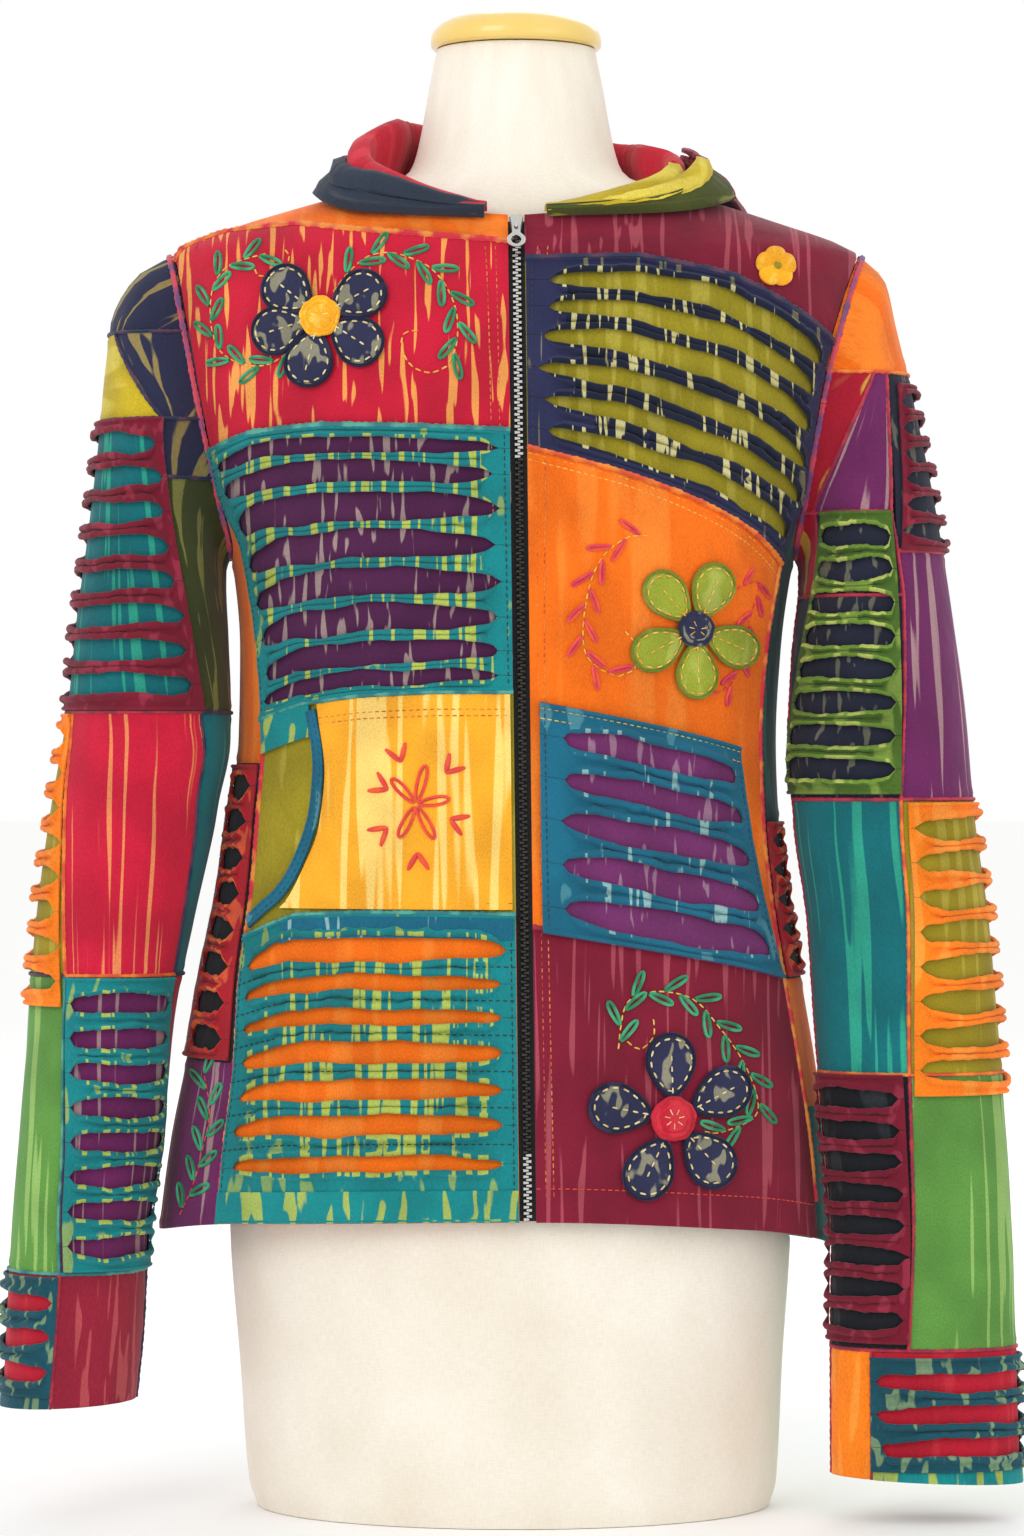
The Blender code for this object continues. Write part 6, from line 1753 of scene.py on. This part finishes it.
def build_embroidery():
    """The stitched vines and the daisy."""
    sewing = {}
    for row in VINES:
        line = spline(row.marks)
        stem = sewing.setdefault(row.stem_thread, Mesh())
        points, ways = traced(on_front, line[:, 0], line[:, 1], row.out)
        add_dashes(stem, points, ways, 4.2, 1.4, 0.5, next_patch())
        if not row.leaf:
            continue
        leaves = sewing.setdefault(row.leaf_thread, Mesh())
        apart = np.linalg.norm(np.diff(line, axis=0), axis=1)
        far = np.concatenate([[0], np.cumsum(apart)])
        way = np.gradient(line, axis=0)
        for k, at in enumerate(np.arange(4, far[-1], LEAF_SPACING)):
            x, z = np.interp(at, far, line[:, 0]), np.interp(at, far, line[:, 1])
            heading = math.atan2(np.interp(at, far, way[:, 1]), np.interp(at, far, way[:, 0]))
            lean = math.radians(LEAF_LEAN) * (1 if (k + row.first) % 2 else -1)
            x += 1.6 * math.cos(heading + lean)
            z += 1.6 * math.sin(heading + lean)
            half = 1.0 if row.leaf_thread == "thread_pink" else 1.75
            add_leaf(leaves, x, z, heading + lean, row.leaf, half, row.out + 0.3, next_patch())
    daisy = sewing.setdefault("thread_red", Mesh())
    out = LAID_ON + LAYER + 0.3
    for turn, length in DAISY_PETALS:
        turn = math.radians(turn)
        x, z = DAISY[0] + 2 * math.cos(turn), DAISY[1] + 2 * math.sin(turn)
        add_leaf(daisy, x, z, turn, length, 2.4, out, next_patch())
    for turn, reach in DAISY_MARKS:
        turn = math.radians(turn)
        x, z = DAISY[0] + reach * math.cos(turn), DAISY[1] + reach * math.sin(turn)
        for lean in (-0.55, 0.55):
            far = np.linspace(0, DAISY_MARK, 6)
            xs, zs = x + far * math.cos(turn + lean), z + far * math.sin(turn + lean)
            points, ways = traced(on_front, xs, zs, out)
            add_tube(daisy, points, ways, [0.8, 1.5, 1.7, 1.7, 1.4, 0.8], 6, next_patch())
    for name, mesh in sewing.items():
        made = mesh.made("embroidery_" + name, thread(name, *THREADS[name]))


SEAM_RADIUS = 1.5
SHORTEST_SEAM = 12.0
SLEEVE_SEAMS = {
    ("right", "arm"): "overlock_red",
    ("right", "elbow_front"): "overlock_orange",
    ("right", "forearm_front"): "overlock_cool",
    ("right", "forearm_outer"): "overlock_cool",
    ("right", "cuff_front"): "overlock_red",
    ("left", "cap_front"): "overlock_orange",
    ("left", "elbow_front"): "overlock_orange",
    ("left", "elbow_outer"): "overlock_orange",
}


def seam_tube(mesh, place, s, t, out=0.6, radius=SEAM_RADIUS):
    """Adds a raised overlocked seam along places on a piece, knobbly from its stitches."""
    points, ways = traced(place, s, t, out)
    points, ways, far = resampled(points, ways, 1.6)
    if far[-1] < SHORTEST_SEAM:
        return
    number = next_patch()
    rng = np.random.default_rng(int(number))
    knobs = 1 + 0.16 * np.sin(far * 2 * np.pi / 4.8) + 0.12 * wander(rng, far, 3, 13)
    add_tube(mesh, points, ways, radius * knobs, 6, number)


def build_seams():
    """The overlocked seams that stand up between the patches."""
    share = np.linspace(0, 1, 90)
    full = np.ones(90)
    meshes = {name: Mesh() for name in THREADS if name.startswith("overlock")}

    def front(side, bottom, top):
        return lambda s, t, out: between("left", bottom, top)(s, t, out) if side == "left" else (
            lambda a, b, o: between("right", bottom, top)(1 - a, b, o))(s, t, out)

    lines = (
        ("right", "chest", "yoke", 1, "overlock_warm", 0.5, 2.0),
        ("right", "waist", "chest", 1, "overlock_cool", 2.6, 1.9),
        ("right", "waist", "chest", 0, "overlock_cool", 2.6, 1.5),
        ("right", "hem", "pocket", 1, "overlock_cool", 2.2, 1.5),
        ("left", "chest", "yoke", 1, "overlock_dark", 2.6, 2.3),
        ("left", "chest", "yoke", 0, "overlock_orange", 1.6, 2.0),
        ("left", "hem", "waist", 1, "overlock_red", 0.5, 1.5),
    )
    for side, bottom, top, at, name, out, radius in lines:
        seam_tube(meshes[name], front(side, bottom, top), share, full * at, out, radius)
    for side in ("right", "left"):
        heights = np.linspace(190, ARMHOLE_JOIN, 90)
        edge = lambda s, t, out, side=side: front_point(side, s, t, out)
        seam_tube(meshes["overlock_warm"], edge, full, heights, 0.4)
        back = lambda s, t, out, side=side: torso(SIGN[side] * BACK_SEAM, t, out)
        seam_tube(meshes["overlock_red"], back, full, np.linspace(170, ARMHOLE_JOIN, 90), 0.2, 1.2)
        ring = lambda s, t, out, side=side: sleeve(side, s, t, out)
        phi = np.linspace(0, 360, 160)
        seam_tube(meshes["overlock_pink"], ring, phi, np.full(160, 0.35), 0.3, 1.8)
    for row in SLEEVE_PATCHES:
        place = as_walls(patch_place(row), row.side)
        usual = "overlock_red" if row.side == "left" else "overlock_dark"
        name = SLEEVE_SEAMS.get((row.side, row.name), usual)
        if row.low > 60:
            seam_tube(meshes[name], place, share, full * 0.0, 0.4, 1.2)
        seam_tube(meshes[name], place, full * 1.0, share, 0.4, 1.2)
    for name, mesh in meshes.items():
        made = mesh.made("seams_" + name, thread(name, *THREADS[name]))


STITCH_RADIUS = 0.36


def build_topstitches():
    """Rows of machine stitches along the hems, the zip and the upper layers."""
    meshes = {name: Mesh() for name in ("thread_dark", "thread_gold", "thread_warm", "thread_red")}
    share = np.linspace(0, 1, 120)
    full = np.ones(120)

    def sew(name, place, s, t, out):
        points, ways = traced(place, s, t, out)
        dash, gap = size("stitch"), size("stitch_gap")
        add_dashes(meshes[name], points, ways, dash, gap, STITCH_RADIUS, next_patch(), 0.1)

    for side in ("right", "left"):
        heights = np.linspace(200, 770, 120)
        edge = lambda s, t, out, side=side: front_point(side, s, t, out)
        for inset in (5, 9):
            out = 0.15
            sew("thread_warm", edge, full * inset / FRONT_WIDTH, heights, out)
        hem = lambda s, t, out, side=side: front_point(side, s, level_of(side, "hem", s) + t, out)
        sew("thread_red", hem, share, full * 20, 0.15)
    for row in FRONT_UPPERS:
        place = between(row.side, row.bottom, row.top, 0.3)
        top = row.lift + LAYER
        for inset in (0.015, 0.985):
            sew("thread_dark", place, full * inset, share, top)
            sew("thread_dark", place, share, full * inset, top)
    hem = between("right", "hem", "pocket", 0.3)
    for first, second in zip(HEM_SLITS, HEM_SLITS[1:]):
        level = full * (first.middle + second.middle) / 2
        sew("thread_dark", hem, share, level, FRONT_UPPERS[1].lift + LAYER + 0.2)
    for level in (0.93, 0.975):
        sew("thread_gold", pocket_left_place, share, full * level, LAID_ON + 1.6 + LAYER)
    for across in (0.02, 0.975):
        sew("thread_dark", pocket_left_place, full * across, share, LAID_ON + 1.6 + LAYER)
    waist = lambda s, t, out: front_point("left", s, level_of("left", "chest", s) - t, out)
    for drop in (4, 8):
        sew("thread_gold", waist, share, full * drop, 0.15)
    pocket = as_walls(pocket_right_place, "right")
    for level in (0.9, 0.93, 0.03):
        sew("thread_warm", pocket, share, full * level, LAID_ON + LAYER)
    for across in (0.25, 0.75):
        sew("thread_dark", binding_place, full * across, share, LAID_ON + 2.2)
    for name, mesh in meshes.items():
        made = mesh.made("topstitches_" + name, thread(name, *THREADS[name]))


# Teeth above the first height and below the second get the bright metal as a painted glint. Those between
# get the dark metal, which is partly painted shade.
TOOTH_GLINT_HEIGHTS = (640, 225)
TAPE_LOW, TAPE_HIGH = -4.9, -3.9


def build_zip():
    """The zip's two tapes and its rows of teeth: a painted glint on the teeth near its top and bottom, and
    painted shade on the teeth between.
    """
    for side in ("right", "left"):
        sign = SIGN[side]

        def place(s, t, out, sign=sign):
            height = ZIP_BOTTOM + (ZIP_TOP - ZIP_BOTTOM) * t
            reach = 0.2 + (size("tape_half") - 0.2) * (s if sign > 0 else 1 - s)
            return on_front(zip_x(height) + sign * reach, height, out)

        wide, long = cut_size(place)
        s, t = np.meshgrid(np.linspace(0, 1, 5), np.linspace(0, 1, 120))
        outer, inner = place(s, t, np.full(s.shape, TAPE_HIGH)), place(s, t, np.full(s.shape, TAPE_LOW))
        cloth = np.stack([s * wide, t * long, np.full(s.shape, next_patch())], -1)
        faces = grid_faces(120, 5)
        mesh = Mesh()
        mesh.add(np.stack([outer, inner]), [faces, faces[:, ::-1] + 600, rim_faces(120, 5, 600)],
                 np.stack([cloth, cloth]))
        made = mesh.made(f"zip_tape_{side}_cloth", zip_tape())
        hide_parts(f"zip_tape_{side}")
    mesh = Mesh()
    heights = np.arange(ZIP_BOTTOM + 1, ZIP_TOP - 6, size("tooth_pitch"))
    for sign in (-1, 1):
        level = heights + (size("tooth_pitch") / 2 if sign > 0 else 0)
        corners = []
        for across, rise, out in (
            (-0.9, -0.7, -3.4), (2.7, -0.95, -3.4), (2.7, 0.95, -3.4), (-0.9, 0.7, -3.4),
            (-0.7, -0.55, -0.3), (2.4, -0.8, -0.3), (2.4, 0.8, -0.3), (-0.7, 0.55, -0.3),
        ):
            z = level + rise
            corners.append(on_front(zip_x(z) + sign * across, z, np.full(len(z), out)))
        points = np.stack(corners, 1)
        base = (np.arange(len(level)) * 8)[:, None]
        sides = np.array([[0, 3, 2, 1], [4, 5, 6, 7], [0, 1, 5, 4], [1, 2, 6, 5], [2, 3, 7, 6],
                          [3, 0, 4, 7]])
        if sign < 0:
            sides = sides[:, ::-1]
        # Painted glint: these teeth get the bright metal. The rest get the dark metal, which is partly
        # painted shade.
        glinting_teeth = (level > TOOTH_GLINT_HEIGHTS[0]) | (level < TOOTH_GLINT_HEIGHTS[1])
        faces = base[:, None] + sides[None]
        kinds = [faces[glinting_teeth].reshape(-1, 4), faces[~glinting_teeth].reshape(-1, 4)]
        mesh.add(points, kinds, points, (0, 1))
    made = mesh.made("zip_teeth_rows", zip_metal(), zip_oxide_and_shade(), sharp=30)
    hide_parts("zip_teeth")
    for name in ("zip_slider", "zip_bail", "zip_pull_tab"):
        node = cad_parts[name]
        node.data.materials.clear()
        node.data.materials.append(zip_metal())


FORM_COLUMNS = 120
FORM_SEAMS = (0, 38, -38, 90, -90, 142, -142, 180)
NECK_SEAM = 812
GROOVE = 0.6


def build_form():
    """The padded form with its sewn panels, and its neck cap."""
    angle = np.linspace(-180, 180, FORM_COLUMNS, endpoint=False)
    heights = np.concatenate([[0.0, 2.0, 5.0, 9.0], np.arange(14, 899, 5.0), [899.6]])
    a, z = np.meshgrid(angle, heights)
    groove = np.zeros(a.shape)
    for seam in FORM_SEAMS:
        apart = (a - seam + 180) % 360 - 180
        groove += np.exp(-((apart / 1.2) ** 2))
    groove += np.exp(-(((z - NECK_SEAM) / 2.0) ** 2)) * 0.8
    below_neckline = np.clip((NECKLINE_AT(np.abs(a)) - 4 - z) / 6, 0, 1)
    above_hem = np.clip((z - HEM_AT(a) - 6) / 6, 0, 1)
    sunk = GROOVE * np.minimum(groove, 1) + size("under_cloth") * below_neckline * above_hem
    points = moved_out(lambda p, q: section(FORM_AT, p, q), a, z, -sunk, 0.5, 0.5)
    points[..., 2] = np.where(z < 1, 0.0, points[..., 2])
    rows = len(heights)
    index = np.arange(rows * FORM_COLUMNS).reshape(rows, FORM_COLUMNS)
    after = np.roll(index, -1, axis=1)
    faces = np.stack([index[:-1], after[:-1], after[1:], index[1:]], -1).reshape(-1, 4)
    cloth = np.stack([(a + 180) * 2.9, z, np.zeros(a.shape)], -1)
    mesh = Mesh()
    mesh.add(points, [faces, [index[0, ::-1]], [index[-1]]], cloth)
    made = mesh.made("form_cover_cloth", form_cover(), sharp=60)
    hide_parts("form_body")
    turn = np.radians(np.arange(0, 360, 5))
    rings = [np.stack([row.radius * np.sin(turn), -row.radius * np.cos(turn),
                       np.full(len(turn), row.height)], -1) for row in CAP]
    points = np.stack(rings)
    rows, count = points.shape[:2]
    index = np.arange(rows * count).reshape(rows, count)
    after = np.roll(index, -1, axis=1)
    faces = np.stack([index[:-1], after[:-1], after[1:], index[1:]], -1).reshape(-1, 4)
    cap = Mesh()
    cap.add(points, [faces, [index[0, ::-1]], [index[-1]]], points)
    made = cap.made("neck_cap", cap_enamel(), sharp=60)
    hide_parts("form_neck_cap")


SENSOR = 36
# The lens whose focal length is 5000 pixels of a picture 1536 pixels high
CAMERA_LENS = SENSOR * 5000 / 1536


def build_stage():
    """A pale floor, soft light from a wide sky and three large lamps, and the camera."""
    scene = bpy.context.scene
    scene.view_settings.view_transform = "Standard"
    mesh = bpy.data.meshes.new("floor")
    turn = np.radians(np.arange(0, 360, 6))
    rim = np.stack([40 * np.cos(turn), 40 * np.sin(turn), 0 * turn - 0.0004], -1)
    mesh.from_pydata(rim.tolist(), [], [tuple(range(len(turn)))])
    made, output = blank("pale_paper")
    inputs = {"Base Color": (*linear("#FBFBFA"), 1), "Roughness": 0.9}
    mesh.materials.append(finished(made, output, add(made.node_tree, "ShaderNodeBsdfPrincipled", inputs)))
    floor = bpy.data.objects.new("floor", mesh)
    scene.collection.objects.link(floor)
    world = bpy.data.worlds.new("soft_sky")
    world.use_nodes = True
    world.node_tree.nodes["Background"].inputs["Color"].default_value = (1.0, 1.0, 1.0, 1)
    world.node_tree.nodes["Background"].inputs["Strength"].default_value = 1.0
    scene.world = world
    for name, place, wide, power in (
        ("key", (-2.2, -3.4, 2.6), 2.2, 44),
        ("fill", (2.8, -3.0, 1.6), 2.4, 16),
        ("rim", (0.6, 3.2, 3.0), 2.0, 24),
    ):
        lamp = bpy.data.lights.new(name, "AREA")
        lamp.size = wide
        lamp.energy = power
        light = bpy.data.objects.new(name, lamp)
        light.location = place
        aim = np.array([0, 0, 0.5]) - np.array(place)
        light.rotation_euler = Vector(aim).to_track_quat("-Z", "Y").to_euler()
        scene.collection.objects.link(light)
    camera = bpy.data.objects.new("camera", bpy.data.cameras.new("camera"))
    camera.data.lens = CAMERA_LENS
    camera.data.sensor_width = SENSOR
    camera.location = (-0.0025, -size("camera_back") * MM, size("camera_height") * MM)
    camera.rotation_euler = (math.radians(90), 0, 0)
    scene.collection.objects.link(camera)
    scene.camera = camera


class JacketSizes(bpy.types.PropertyGroup):
    """The sizes that a user would change."""

    seam_ridge: bpy.props.FloatProperty(
        name="Seam ridge",
        description="Height of the ridge along a patch's seams",
        default=0.55 * MM,
        min=0.0,
        precision=5,
        unit="LENGTH",
    )
    leaf_thread: bpy.props.FloatProperty(
        name="Leaf thread",
        description="Radius of the thread that the leaves are sewn with",
        default=1.1 * MM,
        min=0.0,
        precision=5,
        unit="LENGTH",
    )
    stitch: bpy.props.FloatProperty(
        name="Stitch",
        description="Length of a machine stitch",
        default=3.0 * MM,
        min=0.0,
        precision=5,
        unit="LENGTH",
    )
    stitch_gap: bpy.props.FloatProperty(
        name="Stitch gap",
        description="Length of the gap between machine stitches",
        default=1.3 * MM,
        min=0.0,
        precision=5,
        unit="LENGTH",
    )
    tooth_pitch: bpy.props.FloatProperty(
        name="Tooth pitch",
        description="Distance between teeth of the zip on one side",
        default=3.6 * MM,
        min=0.0,
        precision=5,
        unit="LENGTH",
    )
    tape_half: bpy.props.FloatProperty(
        name="Tape",
        description="Width of each of the zip's tapes from the middle of the zip",
        default=13.0 * MM,
        min=0.0,
        precision=5,
        unit="LENGTH",
    )
    under_cloth: bpy.props.FloatProperty(
        name="Cover's give",
        description="How far the form's cover gives under the jacket, so that it never shows through",
        default=3.0 * MM,
        min=0.0,
        precision=5,
        unit="LENGTH",
    )
    camera_back: bpy.props.FloatProperty(
        name="Camera distance",
        description="How far in front of the form the camera stands",
        default=3.1,
        min=0.0,
        precision=5,
        unit="LENGTH",
    )
    camera_height: bpy.props.FloatProperty(
        name="Camera height",
        description="Height of the camera over the floor",
        default=0.455,
        min=0.0,
        precision=5,
        unit="LENGTH",
    )


class JacketColours(bpy.types.PropertyGroup):
    """The ground colour of each dyed cotton."""

    __annotations__ = {
        row.name: bpy.props.FloatVectorProperty(
            name=row.name.replace("_", " ").capitalize(),
            description=f"Ground colour of the {row.name.replace('_', ' ')} cotton",
            subtype="COLOR",
            size=3,
            min=0.0,
            max=1.0,
            default=linear(row.ground),
        )
        for row in DYES
    }


class JACKET_OT_form(bpy.types.Operator):
    """Builds the padded form and its neck cap"""

    bl_idname = "jacket.form"
    bl_label = "Dress form"

    def execute(self, context):
        build_form()
        return {"FINISHED"}


class JACKET_OT_fronts(bpy.types.Operator):
    """Builds the fronts' patches and slashed layers"""

    bl_idname = "jacket.fronts"
    bl_label = "Fronts"

    def execute(self, context):
        build_fronts()
        return {"FINISHED"}


class JACKET_OT_sides(bpy.types.Operator):
    """Builds the side patches and their ripped layers"""

    bl_idname = "jacket.sides"
    bl_label = "Sides"

    def execute(self, context):
        build_sides()
        return {"FINISHED"}


class JACKET_OT_back(bpy.types.Operator):
    """Builds the back"""

    bl_idname = "jacket.back"
    bl_label = "Back"

    def execute(self, context):
        build_back()
        return {"FINISHED"}


class JACKET_OT_pockets(bpy.types.Operator):
    """Builds the two patch pockets"""

    bl_idname = "jacket.pockets"
    bl_label = "Pockets"

    def execute(self, context):
        build_pockets()
        return {"FINISHED"}


class JACKET_OT_sleeves(bpy.types.Operator):
    """Builds the sleeves' patches and slashed layers"""

    bl_idname = "jacket.sleeves"
    bl_label = "Sleeves"

    def execute(self, context):
        build_sleeves()
        return {"FINISHED"}


class JACKET_OT_hood(bpy.types.Operator):
    """Builds the hood"""

    bl_idname = "jacket.hood"
    bl_label = "Hood"

    def execute(self, context):
        build_hood()
        return {"FINISHED"}


class JACKET_OT_flowers(bpy.types.Operator):
    """Builds the cloth flowers"""

    bl_idname = "jacket.flowers"
    bl_label = "Flowers"

    def execute(self, context):
        build_flowers()
        return {"FINISHED"}


class JACKET_OT_embroidery(bpy.types.Operator):
    """Builds the stitched vines and the daisy"""

    bl_idname = "jacket.embroidery"
    bl_label = "Embroidery"

    def execute(self, context):
        build_embroidery()
        return {"FINISHED"}


class JACKET_OT_seams(bpy.types.Operator):
    """Builds the overlocked seams"""

    bl_idname = "jacket.seams"
    bl_label = "Seams"

    def execute(self, context):
        build_seams()
        return {"FINISHED"}


class JACKET_OT_topstitches(bpy.types.Operator):
    """Builds the rows of machine stitches"""

    bl_idname = "jacket.topstitches"
    bl_label = "Topstitches"

    def execute(self, context):
        build_topstitches()
        return {"FINISHED"}


class JACKET_OT_zip(bpy.types.Operator):
    """Builds the zip's tapes and teeth"""

    bl_idname = "jacket.zip"
    bl_label = "Zip"

    def execute(self, context):
        build_zip()
        return {"FINISHED"}


class JACKET_OT_stage(bpy.types.Operator):
    """Builds the floor, the lights and the camera"""

    bl_idname = "jacket.stage"
    bl_label = "Stage"

    def execute(self, context):
        build_stage()
        return {"FINISHED"}


OPERATORS = (
    JACKET_OT_form,
    JACKET_OT_fronts,
    JACKET_OT_sides,
    JACKET_OT_back,
    JACKET_OT_pockets,
    JACKET_OT_sleeves,
    JACKET_OT_hood,
    JACKET_OT_flowers,
    JACKET_OT_embroidery,
    JACKET_OT_seams,
    JACKET_OT_topstitches,
    JACKET_OT_zip,
    JACKET_OT_stage,
)


class JACKET_PT_panel(bpy.types.Panel):
    """Lists the jacket's sizes, colours and pieces."""

    bl_idname = "JACKET_PT_panel"
    bl_label = "Patchwork jacket"
    bl_space_type = "VIEW_3D"
    bl_region_type = "UI"
    bl_category = "Jacket"

    def draw(self, context):
        for name in JacketSizes.__annotations__:
            self.layout.prop(context.scene.jacket_sizes, name)
        for row in DYES:
            self.layout.prop(context.scene.jacket_colours, row.name)
        for operator in OPERATORS:
            self.layout.operator(operator.bl_idname)


def register():
    """Adds the classes, and the sizes and colours to the scene."""
    for made in (JacketSizes, JacketColours, *OPERATORS, JACKET_PT_panel):
        bpy.utils.register_class(made)
    bpy.types.Scene.jacket_sizes = bpy.props.PointerProperty(type=JacketSizes)
    bpy.types.Scene.jacket_colours = bpy.props.PointerProperty(type=JacketColours)


def unregister():
    """Takes away all that register adds."""
    del bpy.types.Scene.jacket_colours
    del bpy.types.Scene.jacket_sizes
    for made in (JACKET_PT_panel, *reversed(OPERATORS), JacketColours, JacketSizes):
        bpy.utils.unregister_class(made)


def main():
    """Builds everything in order."""
    register()
    bpy.ops.jacket.form()
    bpy.ops.jacket.fronts()
    bpy.ops.jacket.sides()
    bpy.ops.jacket.back()
    bpy.ops.jacket.pockets()
    bpy.ops.jacket.sleeves()
    bpy.ops.jacket.hood()
    bpy.ops.jacket.flowers()
    bpy.ops.jacket.embroidery()
    bpy.ops.jacket.seams()
    bpy.ops.jacket.topstitches()
    bpy.ops.jacket.zip()
    bpy.ops.jacket.stage()


if __name__ == "__main__":
    main()
